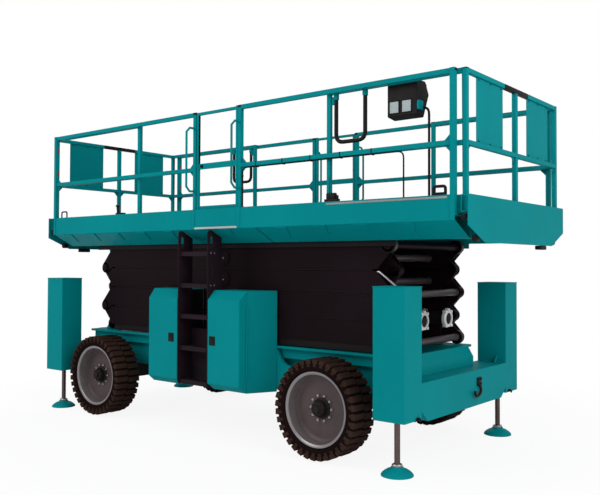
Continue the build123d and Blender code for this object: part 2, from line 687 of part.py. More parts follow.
# ---- entrance gates: square tube, hollow at the ends where the hinge pins stand ----
hollow = half_gate - gate_wall
for side_name, side in near_far:
    rail_y = side * main_rail_y
    hinge_x = gate_axis_front_x if side < 0 else gate_axis_rear_x
    free_x = gate_axis_rear_x if side < 0 else gate_axis_front_x
    inward = 1 if free_x > hinge_x else -1
    bar_span = (hinge_x + inward * half_gate, free_x - inward * half_gate)
    gate_pieces = []
    for tube_x in (hinge_x, free_x):
        with BuildPart() as gate_side:
            block((tube_x - half_gate, tube_x + half_gate), (rail_y - half_gate, rail_y + half_gate),
                  (gate_bottom_z, gate_top_z))
            if tube_x == hinge_x:
                for low_z in (gate_bottom_z, gate_top_z - hinge_pin_depth - 2):
                    block((hinge_x - hollow, hinge_x + hollow), (rail_y - hollow, rail_y + hollow),
                          (low_z, low_z + hinge_pin_depth + 2), mode=Mode.SUBTRACT)
        gate_pieces.append(gate_side)
    gate_pieces.append(piece(bar_span, (rail_y - half_gate, rail_y + half_gate),
                             (top_rail_z - half_gate, top_rail_z + half_gate)))
    with BuildPart() as gate_bar:
        block(bar_span, (rail_y - gate_bar_thickness / 2, rail_y + gate_bar_thickness / 2),
              (gate_bar_z - gate_bar_height / 2, gate_bar_z + gate_bar_height / 2))
    gate_pieces.append(gate_bar)
    knob_face = rail_y + side * gate_bar_thickness / 2
    with BuildPart() as knob:
        flats(y_slab(max(knob_face, knob_face + side * knob_radius)), (free_x - inward * 60, gate_bar_z),
              knob_radius, knob_radius, 8)
    gate_pieces.append(knob)
    gate_pieces.append(piece(bar_span, (rail_y - toe_sheet / 2, rail_y + toe_sheet / 2),
                             (gate_bottom_z, gate_bottom_z + gate_toe_height)))
    save("gate_" + side_name, welded(*gate_pieces))

# ---- extension decks, their rails and slide grips ----
runner_top_z = floor_bottom_z - side_gap
slide_floor_z = floor_top_z + seat_gap
post_base_z = slide_floor_z + extension_floor
deck_edge_y = extension_y + half_tube
for end_name, facing, inner_post_x in (("front", 1, front_inner_post_x), ("rear", -1, rear_inner_post_x)):
    deck_inner_x = inner_post_x - facing * 40
    inside_x = facing * (end_plate_x - end_plate_sheet)
    end_x = facing * extension_end_x
    with BuildPart() as end_plate:
        outline(Plane.YZ.offset(min(inside_x, facing * end_plate_x)),
                ((-toe_outer_y, toe_top_z), (toe_outer_y, toe_top_z),
                 (toe_outer_y, end_plate_bottom_z + end_plate_rise),
                 (toe_outer_y - end_plate_cut, end_plate_bottom_z),
                 (-toe_outer_y + end_plate_cut, end_plate_bottom_z),
                 (-toe_outer_y, end_plate_bottom_z + end_plate_rise)), end_plate_sheet)
    slide_pieces = [end_plate, piece((deck_inner_x, inside_x), (-deck_edge_y, deck_edge_y),
                                     (slide_floor_z, post_base_z))]
    for side in (-1, 1):
        slide_pieces.append(piece((facing * runner_inner_end_x, inside_x),
                                  (side * runner_inner_y, side * runner_outer_y),
                                  (runner_top_z - runner_height, runner_top_z)))
        slide_pieces.append(piece((inner_post_x + facing * half_tube, end_x - facing * half_tube),
                                  (side * (deck_edge_y - toe_sheet), side * deck_edge_y),
                                  (post_base_z, toe_top_z)))
    save("extension_deck_" + end_name, welded(*slide_pieces))

    for side_name, side in near_far:
        near_face = side * (extension_y - half_tube)
        far_face = side * (extension_y + half_tube)
        side_pieces = []
        for post_x in (inner_post_x, end_x):
            side_pieces.append(piece((post_x - half_tube, post_x + half_tube), (near_face, far_face),
                                     (post_base_z, top_rail_z + half_tube)))
        for rail_z in (top_rail_z, mid_rail_z):
            side_pieces.append(piece((inner_post_x + facing * half_tube, end_x - facing * half_tube),
                                     (near_face, far_face), (rail_z - half_tube, rail_z + half_tube)))
        save("extension_rail_" + end_name + "_" + side_name, welded(*side_pieces))

    grip_y = -facing * extension_y
    grip_low_z = top_rail_z - grip_drop
    grip_top_z = top_rail_z - half_tube
    grip_near_x = inner_post_x + facing * grip_inset
    grip_far_x = grip_near_x + facing * grip_width
    with BuildPart() as slide_grip:
        bent_bar(((grip_near_x, grip_y, grip_top_z), (grip_near_x, grip_y, grip_low_z + grip_bend),
                  (grip_near_x + facing * grip_bend, grip_y, grip_low_z),
                  (grip_far_x - facing * grip_bend, grip_y, grip_low_z),
                  (grip_far_x, grip_y, grip_low_z + grip_bend), (grip_far_x, grip_y, grip_top_z)), handle_radius)
    save("slide_grip_" + end_name, slide_grip.part)

    panel_span_z = (mid_rail_z + half_tube, top_rail_z - half_tube)
    rail_span_y = (-extension_y + half_tube, extension_y - half_tube)
    end_pieces = []
    for rail_z in (top_rail_z, mid_rail_z):
        end_pieces.append(piece((end_x - half_tube, end_x + half_tube), rail_span_y,
                                (rail_z - half_tube, rail_z + half_tube)))
    for post_span_z in ((post_base_z, mid_rail_z - half_tube), panel_span_z):
        end_pieces.append(piece((end_x - half_tube, end_x + half_tube), (-end_post / 2, end_post / 2), post_span_z))
    for side in (-1, 1):
        end_pieces.append(piece((end_x - toe_sheet / 2, end_x + toe_sheet / 2),
                                (side * end_panel_inner_y, side * end_panel_outer_y), panel_span_z))
    save("end_rail_" + end_name, welded(*end_pieces))

# ---- control box on the front extension's near rail, and the cables ----
box_back_y = -extension_y + half_tube
with BuildPart() as control_box:
    outline(Plane.YZ.offset(control_box_x - control_box_width / 2),
            ((box_back_y, top_rail_z + 5), (box_back_y + control_box_depth, top_rail_z + 8),
             (box_back_y + 1.4 * control_box_depth, top_rail_z - 0.32 * control_box_height),
             (box_back_y + 0.8 * control_box_depth, top_rail_z - control_box_height),
             (box_back_y, top_rail_z - 0.95 * control_box_height)), control_box_width)
save("control_box", control_box.part)

cable_x = control_box_x + control_box_width / 2 + cable_bend + 2 * cable_radius
cable_y = box_back_y + control_box_depth / 2
exit_z = top_rail_z - 0.75 * control_box_height
with BuildPart() as control_cable:
    with BuildLine() as cable_path:
        FilletPolyline((control_box_x + control_box_width / 2, cable_y, exit_z), (cable_x, cable_y, exit_z),
                       (cable_x, cable_y, post_base_z), radius=cable_bend)
    with BuildSketch(Plane(origin=cable_path.line @ 0, z_dir=cable_path.line % 0)):
        RegularPolygon(cable_radius, 6)
    sweep(path=cable_path.line)
save("control_cable", control_cable.part)

tied_x = gate_post_front_x + half_tube + cable_radius
tied_z = mid_rail_z - half_tube - cable_radius
drop_x = control_box_x + 60
with BuildPart() as rail_cable:
    with BuildLine() as cable_path:
        FilletPolyline((tied_x, -main_rail_y, floor_top_z), (tied_x, -main_rail_y, tied_z),
                       (drop_x, -main_rail_y, tied_z), (drop_x, -main_rail_y, floor_top_z), radius=cable_bend)
    with BuildSketch(Plane(origin=cable_path.line @ 0, z_dir=cable_path.line % 0)):
        RegularPolygon(cable_radius, 6)
    sweep(path=cable_path.line)
save("rail_cable", rail_cable.part)

# ---- entrance ladders ----
slope = (toe_bottom_z - under_beam_bottom_z) / (toe_inner_y - under_beam_outer_y)
ladder_inner_y = ladder_outer_y - ladder_depth
stile_top_z = toe_bottom_z - ladder_gap - 2
stile_back_z = stile_top_z - slope * (toe_inner_y - ladder_inner_y)
middle_y = (ladder_inner_y + ladder_outer_y) / 2


def slot_points(side, low_z):
    """Outline of a hand slot with chamfered ends."""
    half_width = slot_width / 2
    return ((side * (middle_y + 45 - half_width), low_z + half_width), (side * (middle_y + 45), low_z),
            (side * (middle_y + 45 + half_width), low_z + half_width),
            (side * (middle_y + 45 + half_width), low_z + slot_length - half_width),
            (side * (middle_y + 45), low_z + slot_length),
            (side * (middle_y + 45 - half_width), low_z + slot_length - half_width))


for side_name, side in near_far:
    ladder_pieces = []
    top_slot_z = stile_back_z - slot_drop
    for stile_x, slots in ((ladder_rear_x, (top_slot_z,)),
                           (ladder_front_x - ladder_sheet, (top_slot_z, rung_heights[3] + slot_drop))):
        with BuildPart() as stile:
            outline(Plane.YZ.offset(stile_x),
                    ((side * (ladder_inner_y + ladder_chamfer), ladder_bottom_z),
                     (side * (ladder_outer_y - ladder_chamfer), ladder_bottom_z),
                     (side * ladder_outer_y, ladder_bottom_z + ladder_chamfer),
                     (side * ladder_outer_y, stile_top_z - ladder_chamfer),
                     (side * (ladder_outer_y - ladder_chamfer), stile_top_z), (side * toe_inner_y, stile_top_z),
                     (side * ladder_inner_y, stile_back_z), (side * ladder_inner_y, ladder_bottom_z + ladder_chamfer)),
                    ladder_sheet)
            for low_z in slots:
                outline(Plane.YZ.offset(stile_x), slot_points(side, low_z), ladder_sheet, Mode.SUBTRACT)
        ladder_pieces.append(stile)
    between = (ladder_rear_x + ladder_sheet, ladder_front_x - ladder_sheet)
    rung_y = ladder_outer_y - 25
    for rung_z in rung_heights:
        ladder_pieces.append(piece(between, (side * rung_y, side * (rung_y - rung_width)),
                                   (rung_z - rung_height / 2, rung_z + rung_height / 2)))
    ladder_pieces.append(piece(between, (side * ladder_inner_y, side * (ladder_inner_y + toe_sheet)),
                               (track_top_z - 265, track_top_z + 135)))
    ladder_pieces.append(piece((chassis_x - 60, chassis_x + 60), (side * track_outer_y, side * ladder_inner_y),
                               (track_top_z - track_thickness, track_top_z)))
    save("ladder_" + side_name, welded(*ladder_pieces))

# ---- component housings, their hinged doors and the equipment inside ----
door_inner_y = tray_seam_y + seat_gap
tray_spans = (("rear", tray_rear_x, ladder_rear_x - ladder_gap, -1),
              ("front", ladder_front_x + ladder_gap, tray_front_x, 1))
for side_name, side in near_far:
    tray_pieces = []
    for tray_end, low_x, high_x, outward in tray_spans:
        edge_x, plain_x = (high_x, low_x) if outward > 0 else (low_x, high_x)
        flared_x = edge_x + outward * tray_flare
        back_span = (side * track_outer_y, side * (track_outer_y + sheet))
        wall_span = (tray_bottom_z + sheet, tray_top_z - sheet)
        tray_pieces.append(piece((plain_x, flared_x), back_span, (tray_bottom_z, tray_top_z)))
        tray_pieces.append(piece((plain_x, plain_x + outward * sheet),
                                 (side * (track_outer_y + sheet), side * tray_seam_y), wall_span))
        with BuildPart() as flared_wall:
            outline(Plane.XY.offset(wall_span[0]),
                    ((flared_x, side * (track_outer_y + sheet)), (edge_x, side * tray_seam_y),
                     (edge_x - outward * sheet, side * tray_seam_y),
                     (flared_x - outward * sheet, side * (track_outer_y + sheet))), wall_span[1] - wall_span[0])
        tray_pieces.append(flared_wall)
        for lid_z in (tray_bottom_z, tray_top_z - sheet):
            with BuildPart() as lid:
                outline(Plane.XY.offset(lid_z),
                        ((plain_x, side * (track_outer_y + sheet)), (flared_x, side * (track_outer_y + sheet)),
                         (edge_x, side * tray_seam_y), (plain_x, side * tray_seam_y)), sheet)
            tray_pieces.append(lid)
        with BuildPart() as wheel_fairing:
            outline(y_slab(max(side * track_outer_y, side * (track_outer_y - 40))),
                    ((flared_x - outward * 120, 500), (flared_x - outward * 20, 500), (flared_x + outward * 215, 600),
                     (flared_x + outward * 215, 735), (flared_x + outward * 140, 745),
                     (flared_x + outward * 75, 775), (flared_x + outward * 30, 830), (flared_x, 900),
                     (flared_x - outward * 120, 900)), 40)
        tray_pieces.append(wheel_fairing)
    save("housings_" + side_name, welded(*tray_pieces))

    for tray_end, low_x, high_x, outward in tray_spans:
        edge_x = high_x if outward > 0 else low_x
        hinge_x = edge_x + outward * door_hinge_radius
        hinge_y = side * (door_inner_y + door_hinge_radius)
        with BuildPart() as door:
            outline(Plane.YZ.offset(low_x),
                    ((side * door_inner_y, tray_bottom_z), (side * tray_outer_y, tray_face_bottom_z),
                     (side * tray_outer_y, tray_face_top_z), (side * door_inner_y, tray_top_z)), high_x - low_x)
            outline(Plane.XY.offset(tray_bottom_z),
                    ((edge_x, side * door_inner_y), (edge_x, side * (tray_outer_y + 1)),
                     (edge_x - outward * door_draft, side * (tray_outer_y + 1))), tray_top_z - tray_bottom_z,
                    Mode.SUBTRACT)
            outline(Plane.YZ.offset(low_x + sheet + (door_draft if outward < 0 else 0)),
                    ((side * (door_inner_y - 1), tray_bottom_z + 8),
                     (side * (tray_outer_y - sheet), tray_face_bottom_z + 4),
                     (side * (tray_outer_y - sheet), tray_face_top_z - 4),
                     (side * (door_inner_y - 1), tray_top_z - 8)), high_x - low_x - 2 * sheet - door_draft,
                    Mode.SUBTRACT)
            with BuildSketch(Plane.XY.offset(tray_face_bottom_z + door_hinge_inset)):
                with Locations((hinge_x, hinge_y)):
                    Circle(door_hinge_radius)
            extrude(amount=tray_face_top_z - tray_face_bottom_z - 2 * door_hinge_inset)
            block((edge_x - outward * sheet, hinge_x), (side * door_inner_y, side * (door_inner_y + 4)),
                  (tray_face_bottom_z + door_hinge_inset, tray_face_top_z - door_hinge_inset))
        save("door_" + side_name + "_" + tray_end, door.part)

    unit_pieces = []
    for tray_end, low_x, high_x, outward in tray_spans:
        back_y = track_outer_y + sheet
        unit_low_z = tray_bottom_z + sheet
        with BuildPart() as unit:
            outline(Plane.XY.offset(unit_low_z),
                    ((low_x + sheet + unit_margin, side * back_y), (high_x - sheet - unit_margin, side * back_y),
                     (high_x - sheet - unit_margin, side * (back_y + unit_depth - unit_chamfer)),
                     (high_x - sheet - unit_margin - unit_chamfer, side * (back_y + unit_depth)),
                     (low_x + sheet + unit_margin + unit_chamfer, side * (back_y + unit_depth)),
                     (low_x + sheet + unit_margin, side * (back_y + unit_depth - unit_chamfer))), unit_height)
        unit_pieces.append(unit)
        with BuildPart() as filler_cap:
            flats(Plane.XY.offset(unit_low_z + unit_height), ((low_x + high_x) / 2, side * (back_y + unit_depth / 2)),
                  unit_chamfer, unit_chamfer)
        unit_pieces.append(filler_cap)
    save("equipment_" + side_name, welded(*unit_pieces))
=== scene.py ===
"""Rough-terrain scissor lift, stowed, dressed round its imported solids. Metres, +X forward, +Z up."""
import json
import math
import bpy
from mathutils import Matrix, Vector


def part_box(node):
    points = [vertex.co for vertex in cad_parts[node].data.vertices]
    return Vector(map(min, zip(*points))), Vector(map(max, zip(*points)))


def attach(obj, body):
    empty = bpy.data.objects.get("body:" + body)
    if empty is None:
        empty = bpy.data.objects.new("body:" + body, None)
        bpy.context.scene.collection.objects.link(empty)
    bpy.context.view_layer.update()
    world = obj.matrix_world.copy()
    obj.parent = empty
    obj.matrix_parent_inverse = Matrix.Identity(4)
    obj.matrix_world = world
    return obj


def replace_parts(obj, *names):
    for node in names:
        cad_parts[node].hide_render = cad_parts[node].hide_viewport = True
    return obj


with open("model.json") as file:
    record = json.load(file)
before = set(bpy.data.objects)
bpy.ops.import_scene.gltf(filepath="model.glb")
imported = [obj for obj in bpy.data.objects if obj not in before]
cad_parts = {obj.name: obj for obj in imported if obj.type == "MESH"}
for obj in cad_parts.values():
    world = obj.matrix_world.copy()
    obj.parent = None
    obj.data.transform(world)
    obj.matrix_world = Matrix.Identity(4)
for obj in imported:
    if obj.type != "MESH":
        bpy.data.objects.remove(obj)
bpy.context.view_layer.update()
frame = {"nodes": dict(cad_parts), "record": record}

# ---- Camera ----
# A normal lens off the machine's front near corner, a little over half its height,
# level enough that the posts stay upright.
tilt, roll, turn = 91.322, -0.19, 38.906
camera_data = bpy.data.cameras.new("camera")
camera_data.sensor_width = 36.0
camera_data.lens = 45.34
camera_data.shift_x = 0.0035
camera_data.shift_y = -0.003
camera = bpy.data.objects.new("camera", camera_data)
camera.location = (5.477, -6.392, 1.75)
camera.rotation_euler = [math.radians(angle) for angle in (tilt, roll, turn)]
bpy.context.scene.collection.objects.link(camera)
bpy.context.scene.camera = camera

# ---- Studio ----
# A white sweep of floor under even light: a bright surround, one broad lamp over the
# near side, one off the front end and a weaker one behind to draw the far edges.


def chain(tree, kind, settings=None, **inputs):
    """One node in a tree, its plain settings and its inputs, which are values or other nodes' outputs."""
    node = tree.nodes.new(kind)
    for key, value in (settings or {}).items():
        setattr(node, key, value)
    for key, value in inputs.items():
        numbered = key[0] == "i" and key[1:].isdigit()
        socket = node.inputs[int(key[1:]) if numbered else key.replace("_", " ")]
        if isinstance(value, bpy.types.NodeSocket):
            tree.links.new(value, socket)
        else:
            socket.default_value = value
    return node


def maths(tree, operation, first, second, clamp=False):
    """Two values added, multiplied or compared."""
    return chain(tree, "ShaderNodeMath", {"operation": operation, "use_clamp": clamp}, i0=first,
                 i1=second).outputs[0]


def spread(tree, value, low, high, to_low, to_high, interpolation="LINEAR"):
    """A value's range stretched on to another range."""
    return chain(tree, "ShaderNodeMapRange", {"interpolation_type": interpolation}, Value=value, From_Min=low,
                 From_Max=high, To_Min=to_low, To_Max=to_high).outputs[0]


bpy.context.scene.view_settings.view_transform = "Standard"
bpy.ops.mesh.primitive_plane_add(size=90.0, location=(0.0, 0.0, 0.0))
floor = bpy.context.object
floor.name = "studio_floor"
floor_finish = bpy.data.materials.new("studio_floor")
floor_finish.use_nodes = True
sweep = floor_finish.node_tree
matt = sweep.nodes["Principled BSDF"]
matt.inputs["Roughness"].default_value = 0.9
matt.inputs["Specular IOR Level"].default_value = 0.0
mottle = chain(sweep, "ShaderNodeTexNoise", Scale=1.3).outputs["Fac"]
sweep.links.new(spread(sweep, mottle, 0.0, 1.0, 0.93, 0.96), matt.inputs["Base Color"])
# The camera sees the floor fade from shaded near the machine to plain white further out.
shaded_to, white_from, least_white = 2.5, 5.5, 0.90
reach = chain(sweep, "ShaderNodeVectorMath", {"operation": "LENGTH"},
              i0=chain(sweep, "ShaderNodeTexCoord").outputs["Object"]).outputs["Value"]
fade = spread(sweep, reach, shaded_to, white_from, least_white, 1.0, "SMOOTHSTEP")
seen = chain(sweep, "ShaderNodeLightPath").outputs["Is Camera Ray"]
blend = chain(sweep, "ShaderNodeMixShader", i0=maths(sweep, "MULTIPLY", fade, seen), i1=matt.outputs[0],
              i2=chain(sweep, "ShaderNodeEmission").outputs[0])
sweep.links.new(blend.outputs[0], sweep.nodes["Material Output"].inputs["Surface"])
floor.data.materials.append(floor_finish)

surround = bpy.data.worlds.new("surround")
bpy.context.scene.world = surround
surround.use_nodes = True
sky = surround.node_tree
sky.nodes.clear()
rays = chain(sky, "ShaderNodeLightPath").outputs
lit = chain(sky, "ShaderNodeBackground", Color=(0.97, 0.985, 1.0, 1.0), Strength=0.62).outputs[0]
white = chain(sky, "ShaderNodeBackground", Color=(1.0, 1.0, 1.0, 1.0)).outputs[0]
seen = maths(sky, "MAXIMUM", rays["Is Camera Ray"], rays["Is Transmission Ray"])
sky_mix = chain(sky, "ShaderNodeMixShader", i0=seen, i1=lit, i2=white)
chain(sky, "ShaderNodeOutputWorld", Surface=sky_mix.outputs[0])

aim = Vector((0.0, 0.0, 1.4))
for lamp_name, lamp_at, lamp_size, lamp_power in (("near_lamp", (-3.5, -9.0, 7.0), 6.0, 330.0),
                                                  ("front_lamp", (9.5, -3.0, 5.5), 5.0, 300.0),
                                                  ("back_lamp", (-6.0, 8.0, 6.5), 5.0, 180.0)):
    lamp_data = bpy.data.lights.new(lamp_name, "AREA")
    lamp_data.shape = "DISK"
    lamp_data.size = lamp_size
    lamp_data.energy = lamp_power
    lamp = bpy.data.objects.new(lamp_name, lamp_data)
    lamp.location = lamp_at
    lamp.rotation_euler = (aim - Vector(lamp_at)).to_track_quat("-Z", "Y").to_euler()
    bpy.context.scene.collection.objects.link(lamp)

# ---- Chassis, end structures and housings ----
# Welded plate sprayed in gloss teal, with a faint orange peel, a slow drift of tone from panel to
# panel and a haze of road dust that thins out with height. Each end carries a hook and lashing eyes.
coat = bpy.data.node_groups.new("painted_steel", "ShaderNodeTree")
for socket_name, kind, usual in (("Paint", "Color", (0.5, 0.5, 0.5, 1.0)),
                                 ("Dust", "Color", (0.36, 0.32, 0.28, 1.0)), ("Dust Amount", "Float", 0.12),
                                 ("Drift", "Float", 0.10), ("Roughness", "Float", 0.35)):
    socket = coat.interface.new_socket(name=socket_name, in_out="INPUT", socket_type="NodeSocket" + kind)
    socket.default_value = usual
for socket_name, kind in (("Color", "Color"), ("Rough", "Float"), ("Height", "Float")):
    coat.interface.new_socket(name=socket_name, in_out="OUTPUT", socket_type="NodeSocket" + kind)
paint_in = coat.nodes.new("NodeGroupInput").outputs
place = chain(coat, "ShaderNodeTexCoord").outputs["Object"]
slow, patchy, peel = [
    chain(coat, "ShaderNodeTexNoise", Vector=place, Scale=scale, Detail=detail, Roughness=grain).outputs["Fac"]
    for scale, detail, grain in ((1.1, 3.0, 0.5), (7.0, 6.0, 0.65), (160.0, 1.0, 0.5))]
shade = maths(coat, "MULTIPLY", spread(coat, slow, 0.3, 0.7, -1.0, 1.0), paint_in["Drift"])
toned = chain(coat, "ShaderNodeVectorMath", {"operation": "SCALE"}, i0=paint_in["Paint"],
              Scale=maths(coat, "ADD", shade, 1.0)).outputs[0]
height_of = chain(coat, "ShaderNodeSeparateXYZ", i0=place).outputs["Z"]
dust_low, dust_high, dust_up_there = 0.1, 1.5, 0.12
low_down = spread(coat, height_of, dust_low, dust_high, 1.0, dust_up_there)
patches = spread(coat, patchy, 0.38, 0.72, 0.15, 1.0)
dusted = maths(coat, "MULTIPLY", maths(coat, "MULTIPLY", low_down, patches),
               paint_in["Dust Amount"], clamp=True)
mixed = chain(coat, "ShaderNodeMix", {"data_type": "RGBA"}, i0=dusted, i6=toned, i7=paint_in["Dust"])
dulled = maths(coat, "ADD", paint_in["Roughness"], spread(coat, dusted, 0.0, 0.5, 0.0, 0.4))
rubbed = spread(coat, patchy, 0.3, 0.7, -0.04, 0.06)
chain(coat, "NodeGroupOutput", Color=mixed.outputs[2],
      Rough=maths(coat, "ADD", dulled, rubbed, clamp=True), Height=peel)


def paint_finish(name, paint, roughness=0.35, dust=0.12, drift=0.08, metallic=0.0, bump=0.00006, specular=0.2):
    """A painted finish: its colour, gloss, dust, drift of tone and the depth of its grain."""
    finish = bpy.data.materials.new(name)
    finish.use_nodes = True
    tree = finish.node_tree
    shader = tree.nodes["Principled BSDF"]
    paintwork = chain(tree, "ShaderNodeGroup", {"node_tree": coat}, Paint=(*paint, 1.0),
                      Roughness=roughness, Drift=drift, Dust_Amount=dust).outputs
    dimple = chain(tree, "ShaderNodeBump", Height=paintwork["Height"], Distance=bump, Strength=1.0)
    tree.links.new(paintwork["Color"], shader.inputs["Base Color"])
    tree.links.new(paintwork["Rough"], shader.inputs["Roughness"])
    tree.links.new(dimple.outputs["Normal"], shader.inputs["Normal"])
    shader.inputs["Metallic"].default_value = metallic
    shader.inputs["Specular IOR Level"].default_value = specular
    return finish


def on_slots(finish, *slots):
    """Puts a finish on every CAD node of these material slots."""
    for part in frame["record"]["subparts"]:
        if part["material_slot"] in slots:
            for held in frame["nodes"][part["node"]].material_slots:
                held.material = finish


teal_finish = paint_finish("teal_gloss", (0.0006, 0.228, 0.246), 0.42, dust=0.008, drift=0.06, specular=0.02)
on_slots(teal_finish, "teal_paint", "teal_door")
black_finish = paint_finish("black_fittings", (0.0085, 0.006, 0.0068), 0.5, dust=0.02, drift=0.2, specular=0.12)
teal = (teal_finish, "teal_paint")
sides = (-1, 1)
near_far = (("near", -1), ("far", 1))
both_ends = (("front", 1), ("rear", -1))


def alone(*chosen):
    """Selects only these objects, the first one active."""
    bpy.ops.object.select_all(action="DESELECT")
    for thing in chosen:
        thing.select_set(True)
    bpy.context.view_layer.objects.active = chosen[0]


def seated(thing):
    """Puts an object's place, turn and size into its mesh."""
    alone(thing)
    bpy.ops.object.transform_apply(location=True, rotation=True, scale=True)
    return thing


def bar(low, high):
    """Square bar or plate between two corners."""
    middle = [(a + b) / 2 for a, b in zip(low, high)]
    bpy.ops.mesh.primitive_cube_add(size=1.0, location=middle, scale=[abs(b - a) for a, b in zip(low, high)])
    return seated(bpy.context.object)


def rod(start, end, radius, facets=20):
    """Round bar from one point to another."""
    along = Vector(end) - Vector(start)
    bpy.ops.mesh.primitive_cylinder_add(vertices=facets, radius=radius, depth=along.length,
                                        location=(Vector(start) + Vector(end)) / 2,
                                        rotation=along.to_track_quat("Z", "Y").to_euler())
    return seated(bpy.context.object)


def wire_ring(centre, turn, radius, wire, steps, facets):
    """Round wire bent to a ring."""
    bpy.ops.mesh.primitive_torus_add(major_radius=radius, minor_radius=wire, major_segments=steps,
                                     minor_segments=facets, location=centre, rotation=turn)
    return seated(bpy.context.object)


def closed_up(thing):
    """Merges a mesh's doubles and turns its faces outwards."""
    alone(thing)
    bpy.ops.object.mode_set(mode="EDIT")
    bpy.ops.mesh.select_all(action="SELECT")
    bpy.ops.mesh.remove_doubles(threshold=0.00002)
    bpy.ops.mesh.normals_make_consistent(inside=False)
    bpy.ops.object.mode_set(mode="OBJECT")
    return thing


def drawn(points, kind="POLY", closed=False, tube=0.0, sheet=0.0):
    """Mesh of a curve through points: a bare line, a tube of a radius or a filled sheet of a thickness."""
    curve = bpy.data.curves.new("drawn", "CURVE")
    curve.dimensions = "3D"
    if sheet:
        curve.dimensions = "2D"
        curve.fill_mode = "BOTH"
        curve.extrude = sheet / 2
    if tube:
        curve.bevel_depth = tube
        curve.bevel_resolution = 3
        curve.use_fill_caps = True
    line = curve.splines.new(kind)
    line.points.add(len(points) - 1)
    for spot, where in zip(line.points, points):
        spot.co = (*where, 1.0)
    line.use_cyclic_u = closed
    if kind == "NURBS":
        line.order_u = 3
        line.use_endpoint_u = True
    thing = bpy.data.objects.new("drawn", curve)
    bpy.context.scene.collection.objects.link(thing)
    alone(thing)
    bpy.ops.object.convert(target="MESH")
    return bpy.context.object


def cut_plate(points, flat, low, high):
    """Plate cut to an outline that lies flat in "xy", "xz" or "yz", between two heights across it."""
    cut = drawn([(across, up, 0.0) for across, up in points], closed=True, sheet=abs(high - low))
    middle = (low + high) / 2
    quarter = math.pi / 2
    cut.location = {"xy": (0, 0, middle), "xz": (0, middle, 0), "yz": (middle, 0, 0)}[flat]
    cut.rotation_euler = {"xy": (0, 0, 0), "xz": (quarter, 0, 0), "yz": (quarter, 0, quarter)}[flat]
    return closed_up(seated(cut))


def eased(thing, width, segments=2):
    """Rounds the sharp edges of a mesh, or of each mesh in a list."""
    if isinstance(thing, list):
        return [eased(each, width, segments) for each in thing]
    alone(thing)
    rounding = thing.modifiers.new("rounding", "BEVEL")
    rounding.width = width
    rounding.segments = segments
    rounding.limit_method = "ANGLE"
    bpy.ops.object.modifier_apply(modifier="rounding")
    return thing


def welded(parts):
    """Joins parts into one mesh."""
    alone(*parts)
    if len(parts) > 1:
        bpy.ops.object.join()
    return parts[0]


def fixed(thing, name, body, finish=black_finish, material_slot="box_black", smooth=30):
    """Names a finished mesh, or a list of them welded, gives it its finish and fixes it to a body."""
    if isinstance(thing, list):
        thing = welded(thing)
    alone(thing)
    bpy.ops.object.shade_smooth_by_angle(angle=math.radians(smooth))
    thing.name = name
    thing.data.name = name
    thing.data.materials.clear()
    thing.data.materials.append(finish)
    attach(thing, body)
    return thing


# Each end's two outrigger housings are closed with a cap plate that stands a little proud, and
# gussets stiffen the end beam between them.
housing_width, cap_proud, beam_top_z = 0.278, 0.003, 0.758
hook_path = ((0.0, 0.225, 0.640), (0.012, 0.222, 0.615), (0.030, 0.215, 0.575), (0.034, 0.185, 0.535),
             (0.034, 0.115, 0.520), (0.034, 0.080, 0.545), (0.034, 0.085, 0.575))
for end_name, facing in both_ends:
    low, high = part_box(end_name + "_end")
    face_x, back_x = (high[0], low[0]) if facing > 0 else (low[0], high[0])
    caps = []
    for side in sides:
        outer_y, inner_y = side * high[1], side * (high[1] - housing_width)
        caps.append(bar((back_x - facing * cap_proud, outer_y + side * cap_proud, high[2] - 0.006),
                        (face_x + facing * cap_proud, inner_y - side * cap_proud, high[2] + 0.002)))
        caps.append(cut_plate(((inner_y - side * 0.002, beam_top_z), (inner_y - side * 0.075, beam_top_z),
                               (inner_y - side * 0.002, 0.836)), "yz", face_x - facing * 0.10,
                              face_x - facing * 0.092))
    fixed(eased(caps, 0.0015), end_name + "_end_caps", "chassis", *teal)
    hook = closed_up(drawn([(face_x + facing * out, facing * across, up) for out, across, up in hook_path],
                           "NURBS", tube=0.0135))
    plate = eased(bar((face_x, facing * 0.18, 0.605), (face_x + facing * 0.010, facing * 0.27, 0.685)), 0.003)
    seat_x, head_x = face_x + facing * 0.008, face_x + facing * 0.020
    bolts = [rod((seat_x, facing * across, up), (head_x, facing * across, up), 0.009, 6)
             for across in (0.198, 0.252) for up in (0.622, 0.668)]
    fixed([hook, plate, *eased(bolts, 0.0015)], end_name + "_recovery_hook", "chassis")
    for side_name, side in near_far:
        eye_y = side * 0.915
        outline = [(eye_y + across, up) for across, up in ((-0.034, 0.460), (0.034, 0.460), (0.034, 0.472),
                                                           (0.014, 0.484), (-0.014, 0.484), (-0.034, 0.472))]
        eye_plate = eased(cut_plate(outline, "yz", face_x, seat_x), 0.002)
        ring = wire_ring((head_x, eye_y, 0.470), (0.0, math.radians(60 * facing), 0.0), 0.015, 0.005, 20, 8)
        fixed([eye_plate, ring], end_name + "_lashing_eye_" + side_name, "chassis")

# ---- Outrigger legs ----
# A ground steel rod slides out of a gland under each housing. Its foot is a pressed dish, sprayed
# teal, that swivels on a collar pinned to the rod.
steel_finish = paint_finish("bright_steel", (0.42, 0.39, 0.39), 0.30, dust=0.05, drift=0.15, metallic=0.8)
steel = (steel_finish, "rod_steel")
leg_finish = paint_finish("ground_steel", (0.120, 0.082, 0.078), 0.26, dust=0.04, drift=0.25, metallic=0.9)
on_slots(steel_finish, "piston_chrome")
on_slots(leg_finish, "rod_steel")
corners = (("front_near", -1), ("front_far", 1), ("rear_near", -1), ("rear_far", 1))
upright = (0, 0, 1)


